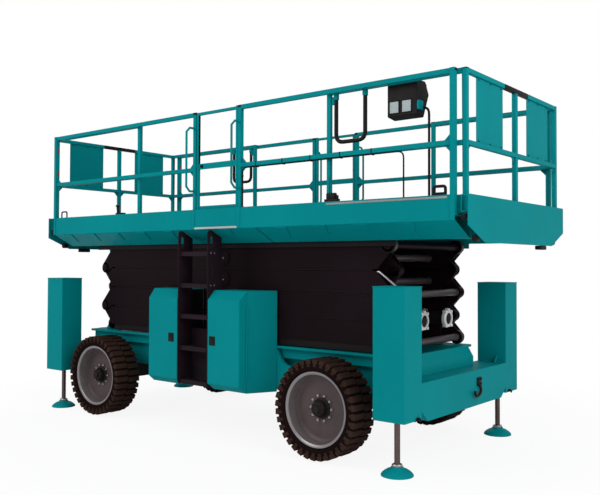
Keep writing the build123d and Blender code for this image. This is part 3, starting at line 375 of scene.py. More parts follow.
def turned(profile, centre, out, steps=40, ring=False):
    """Turned shape: (radius, height) pairs swept round an axis that points out from a centre."""
    shape = drawn([(radius, 0.0, height) for radius, height in profile], closed=ring)
    bpy.ops.object.mode_set(mode="EDIT")
    bpy.ops.mesh.select_all(action="SELECT")
    bpy.ops.mesh.spin(steps=steps, angle=2 * math.pi, center=(0.0, 0.0, 0.0), axis=(0.0, 0.0, 1.0))
    bpy.ops.object.mode_set(mode="OBJECT")
    closed_up(shape)
    shape.location = centre
    shape.rotation_euler = Vector(out).to_track_quat("Z", "Y").to_euler()
    return closed_up(seated(shape))


rib_reach, rib_half, rib_low, rib_high, pin_z = 0.100, 0.004, 0.030, 0.042, 0.082
for leg_name, _ in corners:
    leg_node, leg_body = "outrigger_leg_" + leg_name, "outrigger_" + leg_name
    low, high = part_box(leg_node)
    x, y, top_z = (low[0] + high[0]) / 2, (low[1] + high[1]) / 2, high[2]
    shaft = turned(((0.0, 0.070), (0.0235, 0.070), (0.0245, 0.075), (0.0245, top_z - 0.004), (0.0215, top_z),
                    (0.0, top_z)), (x, y, 0.0), upright, 32)
    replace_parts(fixed(shaft, "leg_rod_" + leg_name, leg_body, leg_finish, "rod_steel"), leg_node)
    dish = turned(((0.0, 0.004), (0.100, 0.004), (0.110, 0.0), (0.1365, 0.0), (0.1365, 0.008), (0.130, 0.018),
                   (0.112, 0.034), (0.088, 0.049), (0.062, 0.058), (0.055, 0.062), (0.052, 0.072),
                   (0.0, 0.072)), (x, y, 0.0), upright)
    ribs = eased([bar((x - rib_reach, y - rib_half, rib_low), (x + rib_reach, y + rib_half, rib_high)),
                  bar((x - rib_half, y - rib_reach, rib_low), (x + rib_half, y + rib_reach, rib_high))], 0.002)
    fixed([dish, *ribs], "leg_dish_" + leg_name, leg_body, *teal)
    collar = turned(((0.0248, 0.072), (0.043, 0.072), (0.045, 0.076), (0.045, 0.088), (0.040, 0.095),
                     (0.0248, 0.095)), (x, y, 0.0), upright, 32, ring=True)
    pin = eased(rod((x - 0.052, y, pin_z), (x + 0.052, y, pin_z), 0.005, 12), 0.001)
    fixed([collar, pin], "leg_collar_" + leg_name, leg_body, *steel)
    gland = turned(((0.0265, 0.446), (0.040, 0.446), (0.044, 0.450), (0.044, 0.457), (0.0265, 0.457)),
                   (x, y, 0.0), upright, 32, ring=True)
    fixed(gland, "leg_gland_" + leg_name, "chassis")

# ---- Wheels ----
# Solid rubber tyres with hooked tread bars, pressed on to welded steel rims in silver paint. The dished disc is
# the rim's paint darkened as painted shade in its recess. A black hub reduction stands out of the disc inside a
# ring of wheel nuts.
rim_finish = paint_finish("rim_silver", (0.25, 0.225, 0.23), 0.30, dust=0.08, drift=0.15, metallic=0.65)
# The disc's finish is the rim's silver paint darkened as painted shade in the dished recess.
disc_shade_finish = paint_finish("rim_disc_painted_shade", (0.072, 0.052, 0.055), 0.42, dust=0.10, drift=0.3, metallic=0.3,
                           specular=0.12)
wall_finish = paint_finish("tyre_wall", (0.0078, 0.0034, 0.0032), 0.88, dust=0.006, drift=0.3, bump=0.0004,
                           specular=0.03)
tread_finish = paint_finish("tyre_tread", (0.030, 0.015, 0.0112), 0.9, dust=0.03, drift=0.4, bump=0.0006,
                            specular=0.03)
hub_finish = paint_finish("hub_black", (0.0085, 0.0045, 0.005), 0.5, dust=0.04, drift=0.2, specular=0.12)
tread_bars, nut_count, hub_bolt_count = 36, 10, 8
tread_foot, tread_top = 0.422, 0.460
bar_start, bar_stop = 0.006, 0.155


def copied(thing):
    """A second object with a mesh of its own."""
    double = thing.copy()
    double.data = thing.data.copy()
    bpy.context.scene.collection.objects.link(double)
    return double


def round_the_wheel(thing, count):
    """Repeats a mesh round the Z axis."""
    bpy.ops.object.empty_add(rotation=(0.0, 0.0, 2 * math.pi / count))
    turner = bpy.context.object
    alone(thing)
    repeat = thing.modifiers.new("repeat", "ARRAY")
    repeat.fit_type = "FIXED_COUNT"
    repeat.count = count
    repeat.use_relative_offset = False
    repeat.use_object_offset = True
    repeat.offset_object = turner
    bpy.ops.object.modifier_apply(modifier="repeat")
    bpy.data.objects.remove(turner)
    return thing


def shift_spots(thing, test, move):
    """Slides the points that pass a test and leaves the mesh in edit mode."""
    bpy.ops.object.mode_set(mode="OBJECT")
    for spot in thing.data.vertices:
        spot.select = test(spot.co)
    bpy.ops.object.mode_set(mode="EDIT")
    bpy.ops.transform.translate(value=move)


def tread_bar():
    """One hooked tread bar on one half of the tyre, with the block that it throws down the side wall."""
    lug = bar((tread_foot, -0.026, bar_start), (tread_top, 0.026, bar_stop))
    bpy.ops.object.mode_set(mode="EDIT")
    bpy.ops.mesh.select_all(action="DESELECT")
    bpy.ops.object.mode_set(mode="OBJECT")
    for edge in lug.data.edges:
        ends = [lug.data.vertices[number].co for number in edge.vertices]
        edge.select = abs(ends[0].z - ends[1].z) > 0.1
    bpy.ops.object.mode_set(mode="EDIT")
    bpy.ops.mesh.select_mode(type="EDGE")
    bpy.ops.mesh.subdivide(number_cuts=4)
    bpy.ops.mesh.select_mode(type="VERT")
    for test, move in ((lambda co: co.x > 0.45 and co.z > 0.15, (-0.020, 0.0, 0.0)),
                       (lambda co: co.x > 0.45 and 0.12 < co.z < 0.15, (-0.003, 0.0, 0.0)),
                       (lambda co: co.x > 0.45 and co.y > 0.0, (0.0, -0.005, 0.0)),
                       (lambda co: co.x > 0.45 and co.y < 0.0, (0.0, 0.005, 0.0))):
        shift_spots(lug, test, move)
    sweeps = (0.034, 0.027, 0.014, 0.002, -0.006, -0.008)
    for row, sweep in enumerate(sweeps):
        height = bar_start + row * (bar_stop - bar_start) / (len(sweeps) - 1)
        shift_spots(lug, lambda co: abs(co.z - height) < 0.003, (0.0, sweep, 0.0))
    bpy.ops.object.mode_set(mode="OBJECT")
    block = bar((0.376, -0.024, 0.140), (0.434, 0.006, 0.1535))
    shift_spots(block, lambda co: co.x < 0.38, (0.0, 0.004, -0.004))
    bpy.ops.object.mode_set(mode="OBJECT")
    return eased(welded([lug, block]), 0.0025, 1)


outer_bars = round_the_wheel(tread_bar(), tread_bars)
inner_bars = copied(outer_bars)
inner_bars.rotation_euler = (math.pi, 0.0, math.pi / tread_bars)
hub_centre = (0, 0, 0)
carcass = turned(((0.319, -0.121), (0.319, 0.121), (0.341, 0.1215), (0.341, 0.134), (0.350, 0.1455),
                  (0.372, 0.1485), (0.402, 0.146), (0.424, 0.137), (0.431, 0.120), (0.4315, 0.0),
                  (0.431, -0.120), (0.424, -0.137), (0.402, -0.146), (0.372, -0.1485), (0.350, -0.1455),
                  (0.341, -0.134), (0.341, -0.1215)), hub_centre, upright, 72, ring=True)
rim = turned(((0.3185, 0.119), (0.326, 0.124), (0.333, 0.127), (0.336, 0.131), (0.333, 0.1345),
              (0.322, 0.133), (0.3085, 0.124), (0.305, 0.110), (0.302, 0.060), (0.2975, 0.038),
              (0.299, -0.005), (0.305, -0.040), (0.305, -0.118), (0.322, -0.133), (0.333, -0.1345),
              (0.336, -0.131), (0.333, -0.127), (0.326, -0.124), (0.3185, -0.119)), hub_centre, upright, 72,
             ring=True)
disc = turned(((0.2983, 0.037), (0.280, 0.024), (0.260, 0.019), (0.150, 0.026), (0.090, 0.028),
               (0.090, 0.016), (0.260, 0.006), (0.286, 0.006), (0.2988, -0.004)), hub_centre, upright, 72,
              ring=True)
hub = turned(((0.0, 0.122), (0.030, 0.122), (0.034, 0.118), (0.036, 0.108), (0.058, 0.104), (0.068, 0.094),
              (0.072, 0.080), (0.074, 0.046), (0.084, 0.040), (0.092, 0.036), (0.092, -0.030), (0.060, -0.036),
              (0.041, -0.036), (0.041, 0.060), (0.0, 0.060)), hub_centre, upright, 48)
hub_bolt = eased(rod((0.052, 0.0, 0.100), (0.052, 0.0, 0.112), 0.006, 6), 0.001)
wheel_nut = eased(rod((0.114, 0.0, 0.024), (0.114, 0.0, 0.044), 0.0125, 6), 0.002)
stud = eased(rod((0.114, 0.0, 0.040), (0.114, 0.0, 0.053), 0.0065, 12), 0.001)
tread = welded([outer_bars, seated(inner_bars)])
hub = welded([hub, round_the_wheel(hub_bolt, hub_bolt_count)])
nuts = round_the_wheel(welded([wheel_nut, stud]), nut_count)
masters = ((carcass, "tyre_wall_", wall_finish, "tyre_rubber", "tyre_"),
           (tread, "tyre_bars_", tread_finish, "tyre_rubber", None),
           (rim, "wheel_rim_", rim_finish, "rim_paint", "rim_"),
           (disc, "wheel_disc_", disc_shade_finish, "rim_paint", None),
           (hub, "wheel_hub_", hub_finish, "axle_paint", None),
           (nuts, "wheel_nuts_", *steel, None))
for wheel_name, side in corners:
    low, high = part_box("tyre_" + wheel_name)
    for master, made, finish, slot_name, stands_for in masters:
        part = copied(master)
        part.rotation_euler = (math.radians(-90 * side), 0.0, 0.0)
        part.location = [(a + b) / 2 for a, b in zip(low, high)]
        fixed(seated(part), made + wheel_name, "wheel_" + wheel_name, finish, slot_name)
        if stands_for:
            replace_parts(part, stands_for + wheel_name)
for master, *_ in masters:
    bpy.data.objects.remove(master)

# ---- Broken edges ----
# Finishes for what is still bare, then every cut sheet, folded cover and square tube is copied with
# its sharp edges broken, as a grinder leaves them. The copies stand for the plain solids.
arm_finish = paint_finish("arm_black_brown", (0.0098, 0.0042, 0.0064), 0.42, dust=0.004, drift=0.25,
                          specular=0.05)
ladder_finish = paint_finish("ladder_charcoal", (0.0165, 0.0092, 0.0135), 0.5, dust=0.005, drift=0.2,
                             specular=0.06)
unit_finish = paint_finish("unit_grey", (0.05, 0.055, 0.06), 0.5, dust=0.1)
on_slots(arm_finish, "arm_paint")
on_slots(ladder_finish, "ladder_paint")
on_slots(black_finish, "axle_paint", "cylinder_paint", "box_black", "cable_black")
on_slots(unit_finish, "unit_paint")
on_slots(wall_finish, "tyre_rubber")
on_slots(rim_finish, "rim_paint")
finish_of = {"teal_paint": teal_finish, "teal_door": teal_finish, "box_black": black_finish,
             "ladder_paint": ladder_finish, "arm_paint": arm_finish}
slot_of = {part["node"]: part["material_slot"] for part in frame["record"]["subparts"]}
edge_widths = {"front_end": 0.003, "rear_end": 0.003, "chassis_frame": 0.002, "housings": 0.0015,
               "ladder": 0.002, "scissor": 0.003, "platform_deck": 0.0018, "main_rail": 0.004, "gate": 0.003,
               "door": 0.0025, "extension_rail": 0.004, "extension_deck": 0.0018, "end_rail": 0.0025,
               "control_box": 0.006}
for body, nodes in frame["record"]["behaviour"]["bodies"].items():
    for node in nodes:
        widths = [width for start, width in edge_widths.items() if node.startswith(start)]
        if not widths:
            continue
        copy = copied(bpy.data.objects[node])
        alone(copy)
        bpy.ops.object.mode_set(mode="EDIT")
        bpy.ops.mesh.select_all(action="SELECT")
        bpy.ops.mesh.remove_doubles(threshold=0.00001)
        bpy.ops.mesh.dissolve_limited(angle_limit=math.radians(0.5))
        bpy.ops.object.mode_set(mode="OBJECT")
        eased(copy, widths[0], 1)
        # A bevel can bulge where two solids touch, so no point leaves the node's own box.
        low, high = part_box(node)
        for spot in copy.data.vertices:
            spot.co = [min(max(value, least), most) for value, least, most in zip(spot.co, low, high)]
        fixed(copy, node + "_broken_edges", body, finish_of[slot_of[node]], slot_of[node], 22)
        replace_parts(copy, node)

# ---- Scissor stack ----
# Round bosses and cross tubes sit over the flat-sided lugs and tubes, ringed by weld beads. Each outer arm has
# a bolted hub cap at its middle and keeper plates on its end pins. A dark strip in the gap under each outer arm
# is painted shade between the arm levels.
pin_rear_x, pin_front_x, arm_middle_x = -2.155, 1.890, -0.1325
stack_z, level_rise, half_rise = 1.005, 0.228, 0.114
cap_y, keeper_y, cap_face_y, cap_top_y = 0.680, 0.6865, 0.6903, 0.6935
boss_radius, tube_radius, bead_radius, bolt_circle = 0.0623, 0.0365, 0.038, 0.062
# The cross tubes' grey-brown is lightened past the arms' paint as a painted highlight along their upper edges.
tube_highlight_finish = paint_finish("tube_painted_highlight", (0.105, 0.080, 0.086), 0.34, dust=0.02, drift=0.2, metallic=0.5)
arm_black = (arm_finish, "arm_paint")


def cross_rod(x, z, side, start, stop, radius, facets=20):
    """Round bar straight across the part, between two distances from its middle."""
    return rod((x, side * start, z), (x, side * stop, z), radius, facets)


def bead(x, y, z):
    """Weld bead round a tube that runs across the part."""
    return wire_ring((x, y, z), (math.pi / 2, 0.0, 0.0), bead_radius, 0.0045, 24, 6)


for level in (1, 2, 3, 4):
    middle_z = stack_z + (level - 0.5) * level_rise
    for letter, rising in (("a", 1), ("b", -1)):
        outer = (letter == "b") == (level % 2 == 1)
        lug_y = 0.600 if outer else 0.500
        frame_name = str(level) + letter
        body = "arms_" + frame_name
        low_x, high_x = (pin_rear_x, pin_front_x) if rising > 0 else (pin_front_x, pin_rear_x)
        low_z, high_z = middle_z - half_rise, middle_z + half_rise
        foot_rolls, head_rolls = frame_name == "1b", frame_name == "4a"
        bosses, tubes = [], []
        for side in sides:
            for pin_x, pin_z, forked, rolling in ((low_x, low_z, True, foot_rolls),
                                                  (high_x, high_z, head_rolls, head_rolls)):
                cheeks = ((0.0, 0.0153), (0.0647, 0.080)) if forked else ((0.0198, 0.0602),)
                bosses += [cross_rod(pin_x, pin_z, side, lug_y + start, lug_y + stop, boss_radius, 36)
                           for start, stop in cheeks]
                if rolling:
                    roll = cross_rod(pin_x, pin_z, side, lug_y + 0.0165, lug_y + 0.0635, 0.0701, 40)
                    tubes.append(eased(roll, 0.003))
                if forked and outer:
                    bosses.append(eased(cross_rod(pin_x, pin_z, side, cap_y, keeper_y, 0.044, 28), 0.0015))
                    bosses.append(eased(bar((pin_x - 0.034, side * keeper_y, pin_z - 0.011),
                                            (pin_x + 0.034, side * 0.690, pin_z + 0.011)), 0.001, 1))
            if outer:
                cap = cross_rod(arm_middle_x, middle_z, side, cap_y, cap_face_y, 0.0785, 40)
                cover = cross_rod(arm_middle_x, middle_z, side, cap_face_y, cap_top_y, 0.046, 28)
                bosses += [eased(cap, 0.0015), eased(cover, 0.001)]
        if outer:
            # A dark strip fills the gap under each outer arm, as painted shade between the arm levels.
            gap_shade_z = middle_z - 0.1218 if level > 1 else 0.945
            gap_shades = [bar((-1.98, side * 0.612, gap_shade_z), (1.72, side * 0.668, middle_z - 0.105))
                     for side in sides]
            fixed(eased(welded(gap_shades), 0.002, 1), "arm_gap_shade_" + frame_name, body, black_finish, "arm_paint")
            tubes.append(cross_rod(low_x, low_z, 1, -0.600, 0.600, tube_radius, 32))
            tubes.append(cross_rod(arm_middle_x, middle_z, 1, -0.499, 0.499, 0.0425, 32))
            tubes += [bead(low_x, side * 0.5985, low_z) for side in sides]
        else:
            front_x = {"1a": 1.500, "2b": 0.005}.get(frame_name, pin_front_x - 0.255)
            for tube_x in (front_x, pin_rear_x + 0.255):
                tubes.append(cross_rod(tube_x, middle_z, 1, -0.500, 0.500, tube_radius, 32))
                tubes += [bead(tube_x, side * 0.4985, middle_z) for side in sides]
        fixed(bosses, "arm_bosses_" + frame_name, body, *arm_black)
        fixed(tubes, "cross_tubes_" + frame_name, body, tube_highlight_finish, "arm_paint")
        if outer:
            bolt_angles = [step * math.pi / 3 for step in range(6)]
            hub_bolts = [cross_rod(arm_middle_x + bolt_circle * math.cos(angle),
                                   middle_z + bolt_circle * math.sin(angle), side, cap_face_y, 0.694, 0.007, 6)
                         for side in sides for angle in bolt_angles]
            fixed(eased(hub_bolts, 0.0008, 1), "hub_bolts_" + frame_name, body, *arm_black)
            hub_pins = [cross_rod(arm_middle_x, middle_z, side, cap_top_y, 0.696, 0.009, 12) for side in sides]
            fixed(eased(hub_pins, 0.0008, 1), "hub_pins_" + frame_name, body, *steel)
# A bright steel plate along the tapered end of arm 3b is a painted highlight, where that edge catches the
# light.
highlight_strap = cut_plate(((1.768, 1.680), (1.800, 1.6815), (1.985, 1.552), (1.978, 1.538), (1.796, 1.668),
                   (1.768, 1.672)), "xz", -0.679, -0.660)
fixed(eased(highlight_strap, 0.002), "arm_end_highlight_near", "arms_3b", *steel)

# ---- Lift cylinders ----
# Two hydraulic rams lie side by side in the stack. Each has a honed barrel with a screwed gland and trunnion
# stubs, a chromed rod with an eye, and a clamp ring with a port block at its tail. The clamp ring's near-white
# is partly its bright metal and partly a painted highlight for its shine.
# Near-white finish for the clamp rings: bright metal, with its shine added as a painted highlight.
cast_highlight_finish = paint_finish("casting_painted_highlight", (0.70, 0.69, 0.70), 0.4, dust=0.05, drift=0.3, metallic=0.2)
trunnion_at, eye_at = Vector((1.725, 0.0, 1.223)), Vector((0.290, 0.0, 1.248))
ram_y = 0.235
ram_way = (eye_at - trunnion_at).normalized()
rod_end = (eye_at - trunnion_at).length - 0.044
for side_name, side in near_far:
    aside = Vector((0.0, side * ram_y, 0.0))
    ram_foot, ram_head = trunnion_at + aside, eye_at + aside
    barrel = turned(((0.0, -0.275), (0.056, -0.275), (0.060, -0.271), (0.060, 1.040), (0.0655, 1.040),
                     (0.068, 1.044), (0.068, 1.100), (0.064, 1.105), (0.0353, 1.105), (0.0353, -0.215),
                     (0.0, -0.215)), ram_foot, ram_way)
    stubs = [rod(ram_foot + Vector((0.0, way * 0.055, 0.0)), ram_foot + Vector((0.0, way * 0.0875, 0.0)),
                 0.0249, 28) for way in sides]
    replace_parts(fixed([barrel, *eased(stubs, 0.001)], "ram_barrel_" + side_name, "lift_barrels", black_finish,
                      "cylinder_paint"), "lift_barrel_" + side_name)
    chrome = turned(((0.0, -0.195), (0.033, -0.195), (0.035, -0.192), (0.035, rod_end), (0.0, rod_end)),
                    ram_foot, ram_way)
    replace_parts(fixed(chrome, "ram_rod_" + side_name, "lift_rods", steel_finish, "piston_chrome"),
                "lift_rod_" + side_name)
    eye = turned(((0.0282, -0.036), (0.048, -0.036), (0.050, -0.034), (0.050, 0.034), (0.048, 0.036),
                  (0.0282, 0.036)), ram_head, (0, 1, 0), 36, ring=True)
    fixed(eye, "ram_eye_" + side_name, "lift_rods", black_finish, "cylinder_paint")
    tail = ram_foot - ram_way * 0.266
    clamp_ring = turned(((0.056, -0.020), (0.078, -0.020), (0.083, -0.015), (0.083, 0.015), (0.078, 0.020),
                         (0.056, 0.020)), tail, ram_way, ring=True)
    ears = []
    for angle in (0.9, 1.57, 2.2, -0.9, -2.2):
        y, z = 0.084 * math.cos(angle), 0.084 * math.sin(angle)
        ears.append(rod(tail + Vector((-0.018, y, z)), tail + Vector((0.026, y, z)), 0.016, 16))
    fixed([clamp_ring, *eased(ears, 0.003)], "ram_clamp_" + side_name, "lift_barrels", cast_highlight_finish,
          "piston_chrome")
    port_low = ram_foot + Vector((-0.035, -0.022, 0.056))
    port = eased(bar(port_low, port_low + Vector((0.06, 0.044, 0.026))), 0.002)
    fitting = rod(port_low + Vector((0.06, 0.022, 0.013)), port_low + Vector((0.085, 0.022, 0.013)), 0.010, 6)
    fixed([port, eased(fitting, 0.001)], "ram_port_" + side_name, "lift_barrels", steel_finish, "piston_chrome")

# ---- Ladders ----
# Each tread is a folded channel with a row of punched, raised grips. Bright screws hold the treads to the two
# charcoal side plates. Dark plates behind them are painted shade that darkens the bay where shadow falls.
ladder_rear_x, ladder_front_x = -0.399, 0.020
for side_name, side in near_far:
    grips, screws = [], []
    for tread_z in (0.536, 0.881, 1.206, 1.522, 1.848):
        for x in [-0.365 + step * 0.0445 for step in range(9)]:
            for y in (side * 0.988, side * 1.030):
                grips.append(rod((x, y, tread_z + 0.013), (x, y, tread_z + 0.0185), 0.010, 10))
        grips.append(bar((ladder_rear_x, side * 1.0555, tread_z - 0.030),
                         (ladder_front_x, side * 1.052, tread_z + 0.014)))
        for y in (side * 0.985, side * 1.035):
            for start_x, stop_x in ((-0.4118, -0.405), (0.026, 0.0328)):
                screws.append(rod((start_x, y, tread_z), (stop_x, y, tread_z), 0.009, 6))
    fixed(eased(grips, 0.0008, 1), "ladder_grips_" + side_name, "chassis", ladder_finish, "ladder_paint")
    # Dark plates on the bay walls and behind the lowest tread: painted shade for the shadowed bay behind the
    # ladder.
    shade_plates = [bar((0.0335, side * 0.708, 0.492), (0.0362, side * 0.985, 1.469)),
              bar((-0.4152, side * 0.708, 0.492), (-0.4125, side * 0.985, 1.469)),
              bar((ladder_rear_x, side * 0.880, 0.502), (ladder_front_x, side * 0.884, 0.672))]
    fixed(eased(shade_plates, 0.001, 1), "ladder_painted_shade_" + side_name, "chassis", black_finish, "ladder_paint")
    fixed(eased(screws, 0.0008, 1), "ladder_screws_" + side_name, "chassis", *steel)

# ---- Covers and doors ----
# Each door has a black paddle latch in a pressed frame with a key barrel, and three hinge knuckles
# on its flared edge.
skin_y = 1.080
for side_name, side in near_far:
    for end_name, latch_x, hinge_x in (("rear", -0.505, -0.883), ("front", 0.099, 0.493)):
        door_name, panel = side_name + "_" + end_name, "panel_" + side_name + "_" + end_name
        seat, frame_y, paddle_y = skin_y + 0.003, skin_y + 0.004, skin_y + 0.010
        latch = [eased(bar((latch_x - 0.042, side * (skin_y - 0.001), 0.930),
                           (latch_x + 0.042, side * frame_y, 1.022)), 0.003),
                 eased(bar((latch_x - 0.031, side * seat, 0.940), (latch_x + 0.031, side * paddle_y, 0.988)),
                       0.004, 3),
                 eased(cross_rod(latch_x, 1.004, side, seat, skin_y + 0.009, 0.010), 0.0015)]
        fixed(latch, "door_latch_" + door_name, panel)
        y = side * 0.9984
        knuckles = [rod((hinge_x, y, middle - 0.045), (hinge_x, y, middle + 0.045), 0.0088)
                    for middle in (0.680, 0.965, 1.250)]
        fixed(eased(knuckles, 0.001), "door_knuckles_" + door_name, panel, teal_finish, "teal_door")

# ---- Platform deck ----
# Gusset fins stand under the flared deck edge and anti-slip sheet covers the floor. Each toe board carries
# a pale sill and a grey rubbing strip, and the near one pedals, a whip and tie-down loops.
grip_sheet = paint_finish("anti_slip_sheet", (0.020, 0.020, 0.022), 0.85, dust=0.15, drift=0.3, bump=0.0008)
strip_finish = paint_finish("bare_strip", (0.30, 0.31, 0.31), 0.5, dust=0.10, drift=0.2)
sill_finish = paint_finish("pale_sill", (0.45, 0.47, 0.46), 0.6, dust=0.12, drift=0.2)
toe_y, toe_top_z, rim_y = 1.030, 2.294, -1.008
for side_name, side in near_far:
    fins = []
    for x in (-2.45, -2.00, -1.55, -1.10, -0.65, 0.20, 0.92, 1.37, 1.82, 2.27):
        fin = cut_plate(((x - 0.075, 0.004), (x + 0.085, 0.004), (x + 0.005, 0.190)), "xy", -0.006, 0.006)
        fin.location = (0.0, side * 1.0275, 2.090)
        fin.rotation_euler = (math.atan2(-0.135, -side * 0.265), 0.0, 0.0)
        fins.append(seated(fin))
    fixed(eased(fins, 0.004, 1), "deck_fins_" + side_name, "platform", *teal)
    # A black plate over the teal band under the flared deck edge is painted shade, where the edge above shadows
    # it.
    skirt_shade = bar((-2.257, side * 0.7062, 1.9035), (1.992, side * 0.709, 1.9545))
    fixed(eased(skirt_shade, 0.001, 1), "deck_skirt_shade_" + side_name, "platform", black_finish, "arm_paint")
    lip_y, root_y = side * 1.024, side * 0.762
    seam = cut_plate(((lip_y, 2.091), (root_y, 1.9575), (root_y, 1.9535), (lip_y, 2.087)), "yz", 0.619, 0.625)
    fixed(eased(seam, 0.0004, 1), "deck_seam_" + side_name, "platform")
    sill = bar((-0.207, side * toe_y, 2.092), (0.384, side * 1.042, 2.112))
    fixed(eased(sill, 0.002), "gate_sill_" + side_name, "platform", sill_finish, "rod_steel")
    feet = [bar((x - 0.020, side * 1.0305, 2.091), (x + 0.020, side * 1.0375, 2.296))
            for x in (-0.230, 0.404)]
    fixed(eased(feet, 0.0015), "gate_post_feet_" + side_name, "platform", *teal)
    strip = bar((1.468, side * toe_y, 2.267), (2.657, side * 1.0345, 2.283))
    fixed(eased(strip, 0.0015), "rubbing_strip_" + side_name, "platform", strip_finish, "rod_steel")
floor_grip = eased(bar((-2.715, -0.930, 2.1496), (2.715, 0.930, 2.1502)), 0.0002, 1)
fixed(floor_grip, "deck_grip_sheet", "platform", grip_sheet)
sheet_y = 0.925
for end_name, facing, inner_x, ramp_x in (("front", 1, 1.480, 1.411), ("rear", -1, -1.208, -1.139)):
    sheet = eased(bar((inner_x, -sheet_y, 2.164), (facing * 2.755, sheet_y, 2.166)), 0.0006, 1)
    fixed(sheet, end_name + "_grip_sheet", end_name + "_extension", grip_sheet)
    ramp = cut_plate(((ramp_x, 2.1645), (inner_x, 2.1645), (inner_x, 2.1665)), "xz", -sheet_y, sheet_y)
    fixed(eased(ramp, 0.0004, 1), end_name + "_deck_ramp", end_name + "_extension", strip_finish, "rod_steel")

switch = [eased(bar((1.445, -toe_y, toe_top_z), (1.590, -0.985, 2.318)), 0.004),
          eased(bar((1.462, -1.026, 2.316), (1.560, -0.988, 2.372)), 0.008, 3),
          eased(rod((1.575, rim_y, 2.316), (1.575, rim_y, 2.350), 0.012, 16), 0.002)]
fixed(switch, "foot_switch", "platform")
whip = rod((1.492, rim_y, 2.368), (1.484, rim_y, 2.520), 0.0025, 8)
fixed(whip, "switch_whip", "platform", black_finish, "cable_black")
pedal_x = -1.46
pedal = [eased(bar((pedal_x - 0.055, -toe_y, toe_top_z), (pedal_x + 0.075, -0.985, 2.312)), 0.004),
         eased(rod((pedal_x - 0.030, rim_y, 2.310), (pedal_x - 0.040, rim_y, 2.385), 0.016, 16), 0.004),
         eased(rod((pedal_x - 0.040, rim_y, 2.383), (pedal_x - 0.040, rim_y, 2.403), 0.024, 16), 0.006)]
fixed(pedal, "rear_pedal", "platform")


def hose(points, radius, bend):
    """Round tube along a path with rounded corners."""
    path = [Vector(points[0])]
    for before, corner, after in zip(points, points[1:], points[2:]):
        before, corner, after = Vector(before), Vector(corner), Vector(after)
        start = corner + (before - corner).normalized() * bend
        stop = corner + (after - corner).normalized() * bend
        path += [start.lerp(corner, share).lerp(corner.lerp(stop, share), share) for share in
                 (0.0, 0.2, 0.4, 0.6, 0.8, 1.0)]
    path.append(Vector(points[-1]))
    return closed_up(drawn(path, tube=radius))


loops = []
for start_x, radius in ((2.527, 0.0125), (-2.590, 0.0085)):
    path = [(start_x + along, rim_y, up)
            for along, up in ((0, 2.290), (0, 2.366), (0.105, 2.366), (0.105, 2.290))]
    loops.append(hose(path, radius, 0.022))
loops.append(rod((2.527, rim_y, 2.306), (2.632, rim_y, 2.306), 0.0125))
fixed(loops, "tie_loops", "platform")

# ---- Guard rails and gates ----
# Black plugs close the posts, gussets stiffen the mid rail, and cable clips carry the loom. Each
# gate shuts on a knob latch, and small marks sit on the rear posts.
cap_half, post_top_z = 0.0212, 3.2985


def plug(x, low_y, high_y, low_z):
    """Black cap on a square post."""
    return eased(bar((x - cap_half, low_y, low_z), (x + cap_half, high_y, post_top_z)), 0.003)


plugs, gussets = [], []
for side in sides:
    plugs += [plug(x, side * 0.9838, side * 1.0262, 3.272) for x in (-2.703, -0.230, 0.404, 2.703)]
    for x, reach in ((2.683, -0.062), (-2.683, 0.062), (0.424, 0.062), (-0.250, -0.062)):
        for z, rise in ((2.727, 0.062), (2.687, -0.062)):
            gussets.append(cut_plate(((x, z), (x + reach, z), (x, z + rise)), "xz", side * 1.008, side * 1.002))
clips = [bar((x - 0.006, -1.0275, 2.671), (x + 0.006, -0.9825, 2.7285)) for x in (0.62, 0.95, 1.28, 1.61, 1.94)]
clips += [bar((0.402, -1.0155, z - 0.005), (0.4395, -0.9945, z + 0.005)) for z in (2.30, 2.48, 2.60)]
fixed(plugs, "post_plugs", "platform")
reflector_finish = paint_finish("reflector_brown", (0.20, 0.055, 0.045), 0.4, dust=0.05)
marks = [bar((-2.6835, side * 0.992, up - 0.028), (-2.6795, side * 1.018, up + 0.028))
         for side in sides for up in (2.84, 3.13)]
fixed(eased(marks, 0.001, 1), "rear_post_marks", "platform", reflector_finish, "rod_steel")
for side_name, side, knob_x in (("near", -1, -0.129), ("far", 1, 0.303)):
    knob = turned(((0.0, 0.0), (0.0175, 0.0), (0.0175, 0.010), (0.015, 0.0155), (0.0, 0.016)),
                  (knob_x, side * 1.0132, 2.735), (0, side, 0), 24)
    fixed(knob, "gate_knob_" + side_name, "platform_gate_" + side_name)
fixed(eased(gussets, 0.001, 1), "rail_gussets", "platform", *teal)
fixed(eased(clips, 0.002), "cable_clips", "platform")
rise_x, fall_x, cable_y, floor_z, cable_z = 0.431, 2.247, -1.005, 2.150, 2.680
loom = hose(((rise_x, cable_y, floor_z), (rise_x, cable_y, cable_z), (fall_x, cable_y, cable_z),
             (fall_x, cable_y, floor_z)), 0.007, 0.06)
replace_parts(fixed(loom, "rail_loom", "platform", black_finish, "cable_black"), "rail_cable")

